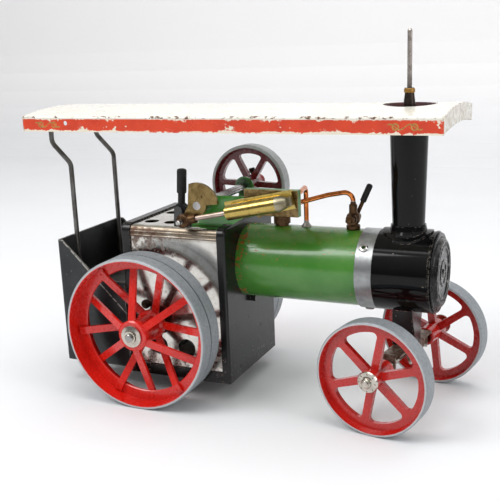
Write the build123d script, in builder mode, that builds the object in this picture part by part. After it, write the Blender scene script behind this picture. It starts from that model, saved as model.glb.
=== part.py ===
from build123d import *
import math
import os

# Toy live-steam tractor, in millimetres. +X is forward, -Y is the cylinder side, +Z is up.
# The origin is on the ground, under the middle of the engine.

os.makedirs("parts", exist_ok=True)

# ---------------------------------------------------------------- driving dimensions
# Stations along the engine are measured from the rear axle.
REAR_AXLE_X = -43.2
WHEELBASE = 121.3
SHEET = 0.8
FIT = 0.05
TIGHT = 0.02
WIRE_R = 1.25
SCREW_HOLE_R, SCREW_R, SCREW_HEAD_R = 1.3, 1.2, 2.3

REAR_R = 38.0
REAR_OUTER_Y = 50.7
REAR_WIDTH = 16.9
REAR_AXLE_R = 2.0
REAR_AXLE_HALF = 55.2

FRONT_R = 26.6
FRONT_WIDTH = 9.0
FRONT_NEAR_OUT = 42.0
FRONT_FAR_OUT = 37.6
FRONT_AXLE_R = 1.6
STEER_ANGLE = -9.3

BOILER_Z = 66.4
BOILER_R = 18.4
BOILER_WALL = 0.6
BOILER_REAR, BOILER_FRONT = -8.5, 104.4
BAND_REAR, BAND_FRONT = 100.6, 108.5
SMOKEBOX_R = 19.05
SMOKEBOX_FRONT = 135.0

FIREBOX_REAR, FIREBOX_FRONT = -11.4, 36.4
FIREBOX_HALF = 28.5
FIREBOX_BOTTOM, FIREBOX_TOP = 15.4, 87.2
PLATE_HALF = 29.3
PLATE_BOTTOM, PLATE_TOP = 9.8, 88.0
REAR_PLATE_X, FRONT_PLATE_X = -16.5, 40.6

TENDER_REAR = -55.8
TENDER_TOP, TENDER_LOW, TENDER_BOTTOM = 77.0, 57.3, 11.7
BUNKER_FLOOR_Z = 49.6

CANOPY_REAR, CANOPY_FRONT = -67.4, 143.3
CANOPY_HALF = 32.4
CANOPY_BOTTOM, CANOPY_EDGE, CANOPY_CREST = 133.2, 140.75, 143.5
CANOPY_SHEET = 0.5
CHIMNEY_HOLE_R = 12.1

CHIMNEY_X = WHEELBASE
CHIMNEY_BASE_R, CHIMNEY_TOP_R = 7.4, 8.85
CHIMNEY_NECK_Z, CHIMNEY_LIP_Z = 139.0, 143.3
CHIMNEY_LIP_R = 11.4

CRANK_X, CRANK_Z = 26.9, 98.5
CRANK_THROW = 9.5
CRANK_ANGLE = 228.0
CRANKSHAFT_R = 2.0
TRUNNION_X, TRUNNION_Z = 63.1, 100.3
CYLINDER_Y = -30.6
BARREL_R, BORE_R = 3.6, 2.9
BARREL_OPEN, BARREL_CLOSED = -19.8, 5.5
STRIP_OPEN, STRIP_CLOSED = -22.0, 12.3

FLYWHEEL_R = 21.2
FLYWHEEL_NEAR_Y, FLYWHEEL_FAR_Y = 30.0, 38.0

STEERING_R, STEERING_TOP_R = 1.6, 1.1
STEERING_SHOULDER_Z, STEERING_ROD_TOP = 150.5, 176.0
STEERING_SOCKET_Z = 35.0


# ---------------------------------------------------------------- helpers
def station(x):
    """Model X of a station measured from the rear axle."""
    return REAR_AXLE_X + x


def side_plane(y):
    """Plane at this Y: local x is forward, local y is up, and extruding goes towards -Y."""
    return Plane.XZ.offset(-y)


def cross_plane(x):
    """Plane across the engine at this station: local x is +Y, local y is up, extruding goes forward."""
    return Plane.YZ.offset(station(x))


def axial_plane(origin, radial, axis):
    """Plane through an axis: local x is the radius, local y runs along the axis."""
    return Plane(origin=origin, x_dir=radial, z_dir=Vector(*radial).cross(Vector(*axis)))


def save(part, name):
    part.label = name
    export_step(part, f"parts/{name}.step")


def turned(origin, radial, axis, *profiles):
    """Solid of revolution; each profile is a closed loop of (radius, distance along the axis)."""
    with BuildPart() as piece:
        with BuildSketch(axial_plane(origin, radial, axis)):
            for profile in profiles:
                with BuildLine():
                    Polyline(*profile, close=True)
                make_face()
        revolve(axis=Axis(origin, axis))
    return piece.part


def turned_x(x, z, *profiles):
    return turned((station(x), 0, z), (0, 0, 1), (1, 0, 0), *profiles)


def turned_y(x, y, z, *profiles):
    return turned((station(x), y, z), (1, 0, 0), (0, 1, 0), *profiles)


def turned_z(x, y, z, *profiles):
    return turned((station(x), y, z), (1, 0, 0), (0, 0, 1), *profiles)


def tube(r_in, r_out, start, end):
    """Profile of a plain tube or, with r_in 0, of a rod."""
    return [(r_in, start), (r_out, start), (r_out, end), (r_in, end)]


def pipe(points, radii, r_out, r_in):
    """Bent tube along straight runs joined by tangent arcs."""
    with BuildPart() as piece:
        with BuildLine() as route:
            FilletPolyline(*points, radius=radii)
        with BuildSketch(Plane(origin=route.line @ 0, z_dir=route.line % 0)):
            Circle(r_out)
            if r_in:
                Circle(r_in, mode=Mode.SUBTRACT)
        sweep()
    return piece.part


# ---------------------------------------------------------------- firebox and base
with BuildPart() as firebox_shell:
    CORNER_R, WALL = 3.0, 0.6
    CUT_DEPTH = 3.0
    with BuildSketch(cross_plane(REAR_PLATE_X + SHEET + 0.1)) as section:
        with Locations((0, (FIREBOX_BOTTOM + FIREBOX_TOP) / 2)):
            Rectangle(2 * FIREBOX_HALF, FIREBOX_TOP - FIREBOX_BOTTOM)
        fillet(section.vertices().group_by(Axis.Y)[-1], CORNER_R)
        offset(amount=-WALL, mode=Mode.SUBTRACT)
        with Locations((0, FIREBOX_BOTTOM)):
            Rectangle(2 * (FIREBOX_HALF - WALL), 2 * WALL, mode=Mode.SUBTRACT)
    SHELL_LENGTH = FRONT_PLATE_X - REAR_PLATE_X - 2 * (SHEET + 0.1)
    extrude(amount=SHELL_LENGTH)
    # Two pressed beads along each side, close under the top.
    BEAD_R, BEAD_END = 0.5, 0.2
    BEAD_HEIGHTS = (84.2, 82.2)
    with BuildSketch(cross_plane(FIREBOX_REAR + BEAD_END)):
        for side in (-1, 1):
            for height in BEAD_HEIGHTS:
                with Locations((side * FIREBOX_HALF, height)):
                    Circle(BEAD_R)
    extrude(amount=FIREBOX_FRONT - FIREBOX_REAR - 2 * BEAD_END)
    # Vent and screw holes in the top; air, axle and screw holes in the sides.
    TOP_VENT_R = 3.6
    TOP_VENTS = [(-4.8, -18), (6.4, -18), (6.4, -7), (-4.8, 4), (6.4, 4), (-4.8, 18)]
    FRAME_SCREWS = [(26.0, -13.0), (26.0, 16.0)]
    with BuildSketch(Plane.XY.offset(FIREBOX_TOP + 1)):
        with Locations(*[(station(x), y) for x, y in TOP_VENTS]):
            Circle(TOP_VENT_R)
        with Locations(*[(station(x), y) for x, y in FRAME_SCREWS]):
            Circle(SCREW_HOLE_R)
    extrude(amount=-CUT_DEPTH, mode=Mode.SUBTRACT)
    SIDE_VENT_R = 4.8
    SIDE_VENT_Z = 25.6
    SIDE_VENT_STATIONS = (1.2, 16.8)
    BUSH_R = 3.2
    SIDE_SCREW_X, SIDE_SCREW_Z = -5.2, 46.7
    with BuildSketch(side_plane(FIREBOX_HALF + 1)):
        with Locations(*[(station(x), SIDE_VENT_Z) for x in SIDE_VENT_STATIONS]):
            Circle(SIDE_VENT_R)
        with Locations((station(0), REAR_R)):
            Circle(BUSH_R)
        with Locations((station(SIDE_SCREW_X), SIDE_SCREW_Z)):
            Circle(SCREW_HOLE_R)
    extrude(amount=2 * FIREBOX_HALF + 2, mode=Mode.SUBTRACT)
save(firebox_shell.part, "firebox_shell")


def flanged_plate(face_x, flange_depth):
    """Folded end plate of the firebox: a face with a rim turned back over the shell."""
    forward = 1 if flange_depth < 0 else -1
    corner_r, fold_r, flange = 4.0, 1.2, 0.7
    with BuildPart() as piece:
        with BuildSketch(cross_plane(face_x)) as outline:
            with Locations((0, (PLATE_BOTTOM + PLATE_TOP) / 2)):
                Rectangle(2 * PLATE_HALF, PLATE_TOP - PLATE_BOTTOM)
            fillet(outline.vertices().group_by(Axis.Y)[-1], corner_r)
        extrude(amount=flange_depth)
        face = piece.faces().filter_by(Axis.X).sort_by(Axis.X)[-1 if forward > 0 else 0]
        fillet(face.edges().filter_by(lambda edge: edge.center().Z > PLATE_BOTTOM + 1), fold_r)
        with BuildSketch(cross_plane(face_x - forward * SHEET)) as hollow:
            with Locations((0, (PLATE_BOTTOM + PLATE_TOP) / 2)):
                Rectangle(2 * (PLATE_HALF - flange), PLATE_TOP - PLATE_BOTTOM - 2 * flange)
            fillet(hollow.vertices().group_by(Axis.Y)[-1], corner_r - flange)
            with Locations((0, PLATE_BOTTOM)):
                Rectangle(2 * (PLATE_HALF - flange), 4)
        extrude(amount=3 * flange_depth, mode=Mode.SUBTRACT)
    return piece.part


with BuildPart() as firebox_front_plate:
    add(flanged_plate(FRONT_PLATE_X, FIREBOX_FRONT - FRONT_PLATE_X))
    with BuildSketch(cross_plane(FRONT_PLATE_X - 5)):
        with Locations((0, BOILER_Z)):
            Circle(BOILER_R + FIT)
    extrude(amount=10, mode=Mode.SUBTRACT)
    # Small triangular lug that props the boiler.
    with BuildSketch(cross_plane(FRONT_PLATE_X - 0.2)):
        with BuildLine():
            Polyline((-2.2, 47.7), (2.4, 47.7), (-2.2, 44.8), close=True)
        make_face()
    extrude(amount=3)
save(firebox_front_plate.part, "firebox_front_plate")

BURNER_DOOR_HALF = 19.5
with BuildPart() as firebox_rear_plate:
    add(flanged_plate(REAR_PLATE_X, FIREBOX_REAR - REAR_PLATE_X))
    # Way in for the burner tray.
    with BuildSketch(cross_plane(REAR_PLATE_X - 2)):
        with Locations((0, PLATE_BOTTOM + 6)):
            Rectangle(2 * BURNER_DOOR_HALF, 20)
    extrude(amount=4, mode=Mode.SUBTRACT)
save(firebox_rear_plate.part, "firebox_rear_plate")

with BuildPart() as base_tray:
    TRAY_SHEET = 0.6
    TRAY_TOP = FIREBOX_BOTTOM - 0.1
    with BuildSketch(cross_plane(FIREBOX_REAR + 0.1)):
        with Locations((0, PLATE_BOTTOM + (TRAY_TOP - PLATE_BOTTOM) / 2)):
            Rectangle(2 * PLATE_HALF, TRAY_TOP - PLATE_BOTTOM)
        with Locations((0, PLATE_BOTTOM + TRAY_SHEET + 10)):
            Rectangle(2 * (PLATE_HALF - TRAY_SHEET), 20, mode=Mode.SUBTRACT)
    extrude(amount=FIREBOX_FRONT - FIREBOX_REAR - 0.2)
    # Air opening in the floor.
    with BuildSketch(Plane.XY.offset(PLATE_BOTTOM - 1)):
        with Locations((station((FIREBOX_REAR + FIREBOX_FRONT) / 2), 0)):
            RectangleRounded(34, 24, 4)
    extrude(amount=3, mode=Mode.SUBTRACT)
save(base_tray.part, "base_tray")

# ---------------------------------------------------------------- tender
with BuildPart() as tender_body:
    with BuildSketch(side_plane(PLATE_HALF)):
        with BuildLine():
            Polyline(
                (station(TENDER_REAR), TENDER_BOTTOM),
                (station(TENDER_REAR), TENDER_TOP),
                (station(TENDER_REAR + 3.5), TENDER_TOP),
                (station(-34.0), TENDER_LOW + 2.0),
                (station(-30.0), TENDER_LOW),
                (station(REAR_PLATE_X - 0.1), TENDER_LOW),
                (station(REAR_PLATE_X - 0.1), TENDER_BOTTOM),
                close=True,
            )
        make_face()
    extrude(amount=2 * PLATE_HALF)
    BACK_R = 1.6
    fillet(tender_body.edges().filter_by(Axis.Z).group_by(Axis.X)[0], BACK_R)
    with BuildSketch(Plane.XY.offset(TENDER_BOTTOM - 1)) as inside:
        LENGTH = REAR_PLATE_X - TENDER_REAR + 5
        with Locations((station(TENDER_REAR + SHEET + LENGTH / 2), 0)):
            Rectangle(LENGTH, 2 * (PLATE_HALF - SHEET))
        fillet(inside.vertices().group_by(Axis.X)[0], BACK_R - SHEET)
    extrude(amount=100, mode=Mode.SUBTRACT)
    with BuildSketch(cross_plane(TENDER_REAR - 1)):
        with Locations((0, TENDER_BOTTOM + 3)):
            RectangleRounded(2 * BURNER_DOOR_HALF, 22, 2)
    extrude(amount=3, mode=Mode.SUBTRACT)
save(tender_body.part, "tender_body")

with BuildPart() as bunker_floor:
    FLOOR_REAR = TENDER_REAR + SHEET + 0.9
    FLOOR_LENGTH = REAR_PLATE_X - 0.1 - FLOOR_REAR
    LIP = 4.0
    with BuildSketch(cross_plane(FLOOR_REAR)):
        with Locations((0, BUNKER_FLOOR_Z + SHEET - LIP / 2)):
            Rectangle(2 * (PLATE_HALF - SHEET - 0.1), LIP)
        with Locations((0, BUNKER_FLOOR_Z - LIP / 2)):
            Rectangle(2 * (PLATE_HALF - 2 * SHEET - 0.1), LIP, mode=Mode.SUBTRACT)
    extrude(amount=FLOOR_LENGTH)
save(bunker_floor.part, "bunker_floor")

# ---------------------------------------------------------------- burner
BURNER_Z = PLATE_BOTTOM + TRAY_SHEET + 0.3
BURNER_REAR, BURNER_FRONT = -22.0, 34.0
with BuildPart() as burner_tray:
    DEPTH = 7.0
    HALF = 17.0
    with BuildSketch(Plane.XY.offset(BURNER_Z)):
        with Locations((station((BURNER_REAR + BURNER_FRONT) / 2), 0)):
            RectangleRounded(BURNER_FRONT - BURNER_REAR, 2 * HALF, 3)
    extrude(amount=DEPTH)
    offset(amount=-0.6, openings=burner_tray.faces().sort_by(Axis.Z)[-1])
    # Pull strip that reaches out below the tender, with a finger curl.
    with BuildSketch(side_plane(4)):
        with BuildLine():
            Polyline(
                (station(BURNER_REAR + 0.4), BURNER_Z + 3.0),
                (station(TENDER_REAR - 1.5), BURNER_Z + 3.0),
                (station(TENDER_REAR - 1.5), BURNER_Z + 8.0),
                (station(TENDER_REAR - 0.8), BURNER_Z + 8.0),
                (station(TENDER_REAR - 0.8), BURNER_Z + 3.7),
                (station(BURNER_REAR + 0.4), BURNER_Z + 3.7),
                close=True,
            )
        make_face()
    extrude(amount=8)
save(burner_tray.part, "burner_tray")

with BuildPart() as fuel_tablets:
    with BuildSketch(Plane.XY.offset(BURNER_Z + 0.7)):
        with Locations((station(6.0), 0)):
            with GridLocations(16.5, 15.0, 3, 2):
                RectangleRounded(14.5, 12.5, 1.5)
    extrude(amount=4.5)
    fillet(fuel_tablets.faces().group_by(Axis.Z)[-1].edges(), 0.6)
save(fuel_tablets.part, "fuel_tablets")

# ---------------------------------------------------------------- boiler and smokebox
save(turned_x(0, BOILER_Z, tube(BOILER_R - BOILER_WALL, BOILER_R, BOILER_REAR, BOILER_FRONT)), "boiler_shell")


def dished_end(x, outward):
    """Dished disc pressed into the boiler tube, its rim flush with the tube's end."""
    rim = BOILER_R - BOILER_WALL
    bend = rim - 1.4
    profile = [(0, 4.0), (0, 3.2), (8.5, 3.6), (bend, 4.6), (rim - 0.8, 0), (rim, 0), (rim, 5.4), (8.5, 4.4)]
    return turned_x(x, BOILER_Z, [(radius, -outward * depth) for radius, depth in profile])


with BuildPart() as boiler_ends:
    add(dished_end(BOILER_REAR + 0.1, -1))
    add(dished_end(BOILER_FRONT - 0.1, 1))
save(boiler_ends.part, "boiler_ends")

BAND_R = 19.0
BAND_ANGLES = (43.0, -77.0, 163.0)
BAND_RIVET_X = (BAND_REAR + BAND_FRONT) / 2 - 0.6


def band_axis(angle):
    """Plane on the band whose normal points outwards; the angle rises from the cylinder side."""
    out = (0, -math.cos(math.radians(angle)), math.sin(math.radians(angle)))
    centre = (station(BAND_RIVET_X), 0, BOILER_Z)
    return Plane(origin=centre, x_dir=(1, 0, 0), z_dir=out)


with BuildPart() as boiler_band:
    add(turned_x(0, BOILER_Z, tube(BOILER_R + FIT, BAND_R, BAND_REAR, BAND_FRONT)))
    for angle in BAND_ANGLES:
        with BuildSketch(band_axis(angle).offset(BOILER_R - 2)):
            Circle(1.25)
        extrude(amount=5, mode=Mode.SUBTRACT)
save(boiler_band.part, "boiler_band")

with BuildPart() as band_rivets:
    HEAD = BAND_R + 0.1
    for angle in BAND_ANGLES:
        seat = band_axis(angle)
        add(turned(tuple(seat.origin), (1, 0, 0), tuple(seat.z_dir), [
            (0.8, HEAD - 0.5), (1.2, HEAD - 0.5), (1.2, HEAD), (2.1, HEAD), (2.1, HEAD + 0.25),
            (1.7, HEAD + 0.7), (1.2, HEAD + 0.8), (0.8, HEAD + 0.6)]))
save(band_rivets.part, "band_rivets")

SMOKEBOX_WALL = 0.7
FLUE_R, DRAIN_R = 5.5, 2.2
SMOKEBOX_REACH = 30.0
with BuildPart() as smokebox_shell:
    inner = SMOKEBOX_R - SMOKEBOX_WALL
    bead = SMOKEBOX_R + 0.3
    add(turned_x(0, BOILER_Z, [
        (inner - SMOKEBOX_WALL, BOILER_FRONT + 0.2), (BOILER_R, BOILER_FRONT + 0.2),
        (BOILER_R, BAND_FRONT + FIT), (SMOKEBOX_R, BAND_FRONT + FIT),
        (SMOKEBOX_R, SMOKEBOX_FRONT - 1.2), (bead, SMOKEBOX_FRONT - 0.9),
        (bead, SMOKEBOX_FRONT - 0.3), (SMOKEBOX_R, SMOKEBOX_FRONT), (inner, SMOKEBOX_FRONT),
        (inner, BAND_FRONT + 1.0), (inner - SMOKEBOX_WALL, BAND_FRONT + 1.0)]))
    with BuildSketch(Plane.XY.offset(BOILER_Z)):
        with Locations((station(CHIMNEY_X), 0)):
            Circle(FLUE_R)
    extrude(amount=SMOKEBOX_REACH, mode=Mode.SUBTRACT)
    with BuildSketch(Plane.XY.offset(BOILER_Z)):
        with Locations((station(CHIMNEY_X), 0)):
            Circle(DRAIN_R)
    extrude(amount=-SMOKEBOX_REACH, mode=Mode.SUBTRACT)
save(smokebox_shell.part, "smokebox_shell")

DOOR_R = SMOKEBOX_R - 0.6
save(turned_x(SMOKEBOX_FRONT, BOILER_Z, [
    (0, -1.0), (16.6, -1.0), (16.6, FIT), (DOOR_R, FIT), (DOOR_R + 0.2, 0.6), (DOOR_R, 1.1),
    (16.9, 1.2), (16.5, 0.8), (16.1, 1.4), (15.6, 2.7), (15.0, 3.1), (14.3, 3.1),
    (13.8, 2.4), (12.9, 2.4), (12.4, 3.0), (11.8, 3.0), (11.4, 2.5), (6.4, 2.5),
    (5.9, 2.9), (5.2, 2.9), (4.8, 2.5), (2.2, 2.5), (1.4, 3.2), (0, 3.4)]), "smokebox_door")

# ---------------------------------------------------------------- chimney
with BuildPart() as chimney:
    CHIMNEY_WALL = 0.7
    NECK_IN = 8.1
    FOOT_Z, TAPER_Z = 80.0, 86.0
    with BuildSketch(axial_plane((station(CHIMNEY_X), 0, 0), (1, 0, 0), (0, 0, 1))):
        with BuildLine():
            Polyline((CHIMNEY_BASE_R, FOOT_Z), (CHIMNEY_BASE_R, TAPER_Z), (CHIMNEY_TOP_R, CHIMNEY_NECK_Z))
            ThreePointArc((CHIMNEY_TOP_R, CHIMNEY_NECK_Z), (9.5, 141.8), (CHIMNEY_LIP_R, CHIMNEY_LIP_Z))
            Polyline((CHIMNEY_LIP_R, CHIMNEY_LIP_Z), (CHIMNEY_LIP_R - 0.7, CHIMNEY_LIP_Z))
            ThreePointArc((CHIMNEY_LIP_R - 0.7, CHIMNEY_LIP_Z), (8.9, 142.0), (NECK_IN, CHIMNEY_NECK_Z))
            Polyline((NECK_IN, CHIMNEY_NECK_Z), (CHIMNEY_BASE_R - CHIMNEY_WALL, TAPER_Z),
                     (CHIMNEY_BASE_R - CHIMNEY_WALL, FOOT_Z), (CHIMNEY_BASE_R, FOOT_Z))
        make_face()
    revolve(axis=Axis((station(CHIMNEY_X), 0, 0), (0, 0, 1)))
    with BuildSketch(cross_plane(CHIMNEY_X - 20)):
        with Locations((0, BOILER_Z)):
            Circle(SMOKEBOX_R + TIGHT)
    extrude(amount=40, mode=Mode.SUBTRACT)
save(chimney.part, "chimney")

with BuildPart() as chimney_saddle:
    SADDLE_R, SADDLE_START = 11.6, 75.0
    with BuildSketch(Plane.XY.offset(SADDLE_START)):
        with Locations((station(CHIMNEY_X), 0)):
            Circle(SADDLE_R)
    extrude(amount=20)
    with BuildSketch(cross_plane(CHIMNEY_X - 20)):
        with Locations((0, BOILER_Z)):
            Circle(SMOKEBOX_R + SHEET + 0.1)
    extrude(amount=40, mode=Mode.INTERSECT)
    add(turned_z(CHIMNEY_X, 0, 80, [(0, 0), (9.6, 0), (9.4, 5.2), (8.5, 6.4), (8.1, 8.6), (0, 8.6)]))
    with BuildSketch(cross_plane(CHIMNEY_X - 20)):
        with Locations((0, BOILER_Z)):
            Circle(SMOKEBOX_R + TIGHT)
    extrude(amount=40, mode=Mode.SUBTRACT)
    with BuildSketch(Plane.XY.offset(SADDLE_START)):
        with Locations((station(CHIMNEY_X), 0)):
            Circle(CHIMNEY_BASE_R + 0.12)
    extrude(amount=20, mode=Mode.SUBTRACT)
save(chimney_saddle.part, "chimney_saddle")

# ---------------------------------------------------------------- canopy
def roof_profile(inset, corner):
    """Cross-section of the roof, drawn in from the outside by inset."""
    half = CANOPY_HALF - inset
    eaves = CANOPY_EDGE - inset
    with BuildSketch() as profile:
        with BuildLine():
            ThreePointArc((-half, eaves), (0, CANOPY_CREST - inset), (half, eaves))
            Polyline((half, eaves), (half, CANOPY_BOTTOM - 2 * inset), (-half, CANOPY_BOTTOM - 2 * inset),
                     (-half, eaves))
        make_face()
        fillet(profile.vertices().group_by(Axis.Y)[-1], corner)
    return profile.sketch


with BuildPart() as canopy_roof:
    LENGTH = CANOPY_FRONT - CANOPY_REAR
    with BuildSketch(cross_plane(CANOPY_REAR)):
        add(roof_profile(0, 1.2))
    extrude(amount=LENGTH)
    with BuildSketch(cross_plane(CANOPY_REAR + CANOPY_SHEET)):
        add(roof_profile(CANOPY_SHEET, 0.7))
    extrude(amount=LENGTH - 2 * CANOPY_SHEET, mode=Mode.SUBTRACT)
    # The end flanges follow the arch of the roof.
    with BuildSketch(cross_plane(CANOPY_REAR - 1)):
        with BuildLine():
            edge = CANOPY_HALF - CANOPY_SHEET
            ThreePointArc((-edge, CANOPY_BOTTOM + 0.3), (0, CANOPY_BOTTOM + 2.2), (edge, CANOPY_BOTTOM + 0.3))
            Polyline((edge, CANOPY_BOTTOM + 0.3), (edge, CANOPY_BOTTOM - 3), (-edge, CANOPY_BOTTOM - 3),
                     (-edge, CANOPY_BOTTOM + 0.3))
        make_face()
    extrude(amount=LENGTH + 2, mode=Mode.SUBTRACT)
    with BuildSketch(Plane.XY.offset(CANOPY_BOTTOM)):
        with Locations((station(CHIMNEY_X + 0.3), 0)):
            Circle(CHIMNEY_HOLE_R)
    extrude(amount=20, mode=Mode.SUBTRACT)
    with BuildSketch(side_plane(CANOPY_HALF + 1)):
        with Locations((station(-41.7), 137.4)):
            Circle(1.1)
    extrude(amount=2 * CANOPY_HALF + 2, mode=Mode.SUBTRACT)
save(canopy_roof.part, "canopy_roof")

POST_TOP_X, POST_FOOT_X, POST_Y = -60.0, -49.5, 20.0
CROSSBAR_Z = CANOPY_EDGE - 2.4
with BuildPart() as canopy_crossbar:
    HALF = CANOPY_HALF - CANOPY_SHEET - 0.05
    TAB = 5.0
    with BuildSketch(side_plane(HALF)):
        with Locations((station(POST_TOP_X), CROSSBAR_Z + SHEET - TAB / 2)):
            Rectangle(6, TAB)
    extrude(amount=2 * HALF)
    with BuildSketch(side_plane(HALF - SHEET)):
        with Locations((station(POST_TOP_X), CROSSBAR_Z - TAB / 2)):
            Rectangle(8, TAB)
    extrude(amount=2 * (HALF - SHEET), mode=Mode.SUBTRACT)
save(canopy_crossbar.part, "canopy_crossbar")

POST_FOOT_Z = BUNKER_FLOOR_Z + SHEET
with BuildPart() as canopy_posts:
    for side in (-1, 1):
        add(pipe([
            (station(POST_TOP_X), side * POST_Y, CROSSBAR_Z),
            (station(POST_TOP_X), side * POST_Y, 126.0),
            (station(POST_FOOT_X), side * POST_Y, 115.5),
            (station(POST_FOOT_X), side * POST_Y, POST_FOOT_Z)], 5.0, WIRE_R, 0))
save(canopy_posts.part, "canopy_posts")

# ---------------------------------------------------------------- rear wheels
FLANGE_NEAR, FLANGE_FAR = 7.6, 9.2
with BuildPart() as rear_wheel_near:
    RIM_IN, FLANGE_IN = 36.4, 31.2
    GROOVE = 0.8
    MID = (FLANGE_NEAR + FLANGE_FAR) / 2
    HUB_R, COLLAR_R = 6.4, 7.6
    HUB_OUT, HUB_IN = -0.9, 18.6
    BORE = REAR_AXLE_R + 0.01
    hub_origin = (station(0), -REAR_OUTER_Y, REAR_R)
    add(turned_y(0, -REAR_OUTER_Y, REAR_R, [
        (RIM_IN, 0), (REAR_R - 0.5, 0), (REAR_R, 0.5), (REAR_R, MID - 0.55),
        (REAR_R - GROOVE, MID - 0.4), (REAR_R - GROOVE, MID + 0.4), (REAR_R, MID + 0.55),
        (REAR_R, REAR_WIDTH - 0.5), (REAR_R - 0.5, REAR_WIDTH), (RIM_IN, REAR_WIDTH),
        (RIM_IN, FLANGE_FAR), (FLANGE_IN + 0.4, FLANGE_FAR), (FLANGE_IN, FLANGE_FAR - 0.4),
        (FLANGE_IN, FLANGE_NEAR + 0.4), (FLANGE_IN + 0.4, FLANGE_NEAR), (RIM_IN, FLANGE_NEAR)]))
    add(turned_y(0, -REAR_OUTER_Y, REAR_R, [
        (BORE, HUB_OUT), (COLLAR_R - 0.6, HUB_OUT), (COLLAR_R, HUB_OUT + 0.5), (COLLAR_R, 2.2),
        (HUB_R, 3.6), (HUB_R, 14.6), (COLLAR_R, 15.8), (COLLAR_R, HUB_IN - 0.4),
        (COLLAR_R - 0.5, HUB_IN), (BORE, HUB_IN)]))
    # Crossed flat spokes: one set leaves the outer hub end, the other the inner end.
    SPOKE, SPOKE_HALF = 1.4, 1.8
    ROOT, OUTER_ROOT, INNER_ROOT = 6.8, 0.2, 16.4
    KNEE, FOOT_IN, FOOT_OUT, SINK = 31.3, 31.9, 35.6, 0.1
    outer_seat, inner_seat = FLANGE_FAR - SINK, FLANGE_NEAR + SINK
    outer_bar = [
        (ROOT, OUTER_ROOT), (ROOT, OUTER_ROOT + SPOKE), (KNEE, outer_seat + SPOKE),
        (FOOT_OUT, outer_seat + SPOKE), (FOOT_OUT, outer_seat), (FOOT_IN, outer_seat)]
    inner_bar = [
        (ROOT, INNER_ROOT), (ROOT, INNER_ROOT + SPOKE), (FOOT_IN, inner_seat),
        (FOOT_OUT, inner_seat), (FOOT_OUT, inner_seat - SPOKE), (KNEE, inner_seat - SPOKE)]
    OUTER_PHASE, INNER_PHASE, SPOKES = 35.0, 5.0, 6
    for bar, phase in ((outer_bar, OUTER_PHASE), (inner_bar, INNER_PHASE)):
        for step in range(SPOKES):
            angle = math.radians(phase + 360 / SPOKES * step)
            radial = (math.cos(angle), 0, math.sin(angle))
            with BuildSketch(axial_plane(hub_origin, radial, (0, 1, 0))):
                with BuildLine():
                    Polyline(*bar, close=True)
                make_face()
            extrude(amount=SPOKE_HALF, both=True)
    # Rivet pairs that hold the spoke feet to the flange.
    RIVET_R, RIVET_CIRCLE, RIVET_SWAY, RIVET_HEIGHT = 0.65, 33.8, 1.9, 0.5
    for phase, seat in ((OUTER_PHASE, FLANGE_NEAR), (INNER_PHASE, inner_seat - SPOKE)):
        with BuildSketch(side_plane(-REAR_OUTER_Y + seat + SINK)):
            with Locations((station(0), REAR_R)):
                for sway in (-RIVET_SWAY, RIVET_SWAY):
                    with PolarLocations(RIVET_CIRCLE, SPOKES, start_angle=phase + sway):
                        Circle(RIVET_R)
        extrude(amount=RIVET_HEIGHT + SINK)
save(rear_wheel_near.part, "rear_wheel_near")

with BuildPart() as rear_wheel_far:
    mirror(rear_wheel_near.part, about=Plane.XZ)
save(rear_wheel_far.part, "rear_wheel_far")

CAP_Y = REAR_OUTER_Y + 0.95
with BuildPart() as rear_axle:
    GROOVE_Y, GROOVE_WIDTH = CAP_Y + 1.7, 0.6
    GROOVE_R = REAR_AXLE_R - 0.4
    for side in (-1, 1):
        add(turned_y(0, 0, REAR_R, [(radius, side * distance) for radius, distance in [
            (0, 0), (REAR_AXLE_R, 0), (REAR_AXLE_R, GROOVE_Y), (GROOVE_R, GROOVE_Y),
            (GROOVE_R, GROOVE_Y + GROOVE_WIDTH), (REAR_AXLE_R, GROOVE_Y + GROOVE_WIDTH),
            (REAR_AXLE_R, REAR_AXLE_HALF - 0.4), (GROOVE_R, REAR_AXLE_HALF), (0, REAR_AXLE_HALF)]]))
save(rear_axle.part, "rear_axle")


def both_sides_y(x, z, profile):
    """The same turned profile at both ends of a cross axle; distances grow outwards."""
    with BuildPart() as pair:
        for side in (-1, 1):
            add(turned_y(x, 0, z, [(radius, side * distance) for radius, distance in profile]))
    return pair.part


with BuildPart() as rear_hub_caps:
    add(both_sides_y(0, REAR_R, [
        (REAR_AXLE_R + TIGHT, CAP_Y), (5.2, CAP_Y), (5.5, CAP_Y + 0.3), (5.3, CAP_Y + 0.8),
        (3.6, CAP_Y + 1.2), (3.2, CAP_Y + 1.4), (REAR_AXLE_R + TIGHT, CAP_Y + 1.4)]))
    # Spring clips that hold the caps on.
    for side in (-1, 1):
        with BuildSketch(side_plane(side * (GROOVE_Y + 0.3) + 0.25)):
            with Locations((station(0), REAR_R)):
                Circle(3.0)
                Circle(REAR_AXLE_R - 0.35, mode=Mode.SUBTRACT)
                with Locations((0, -3)):
                    Rectangle(2 * REAR_AXLE_R - 0.9, 6, mode=Mode.SUBTRACT)
        extrude(amount=0.5)
save(rear_hub_caps.part, "rear_hub_caps")
save(both_sides_y(0, REAR_R, [
    (REAR_AXLE_R + FIT, FIREBOX_HALF - 1.2), (BUSH_R - 0.05, FIREBOX_HALF - 1.2),
    (BUSH_R - 0.05, FIREBOX_HALF + 0.05), (4.6, FIREBOX_HALF + 0.05), (4.6, FIREBOX_HALF + 1.6),
    (REAR_AXLE_R + FIT, FIREBOX_HALF + 1.6)]), "rear_axle_bushes")

# ---------------------------------------------------------------- steered front axle
KING_X = WHEELBASE
KING_R = 2.0
steer = math.radians(STEER_ANGLE)
STEER_FORWARD = (math.cos(steer), math.sin(steer), 0)
STEER_AXLE = (-math.sin(steer), math.cos(steer), 0)


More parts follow.
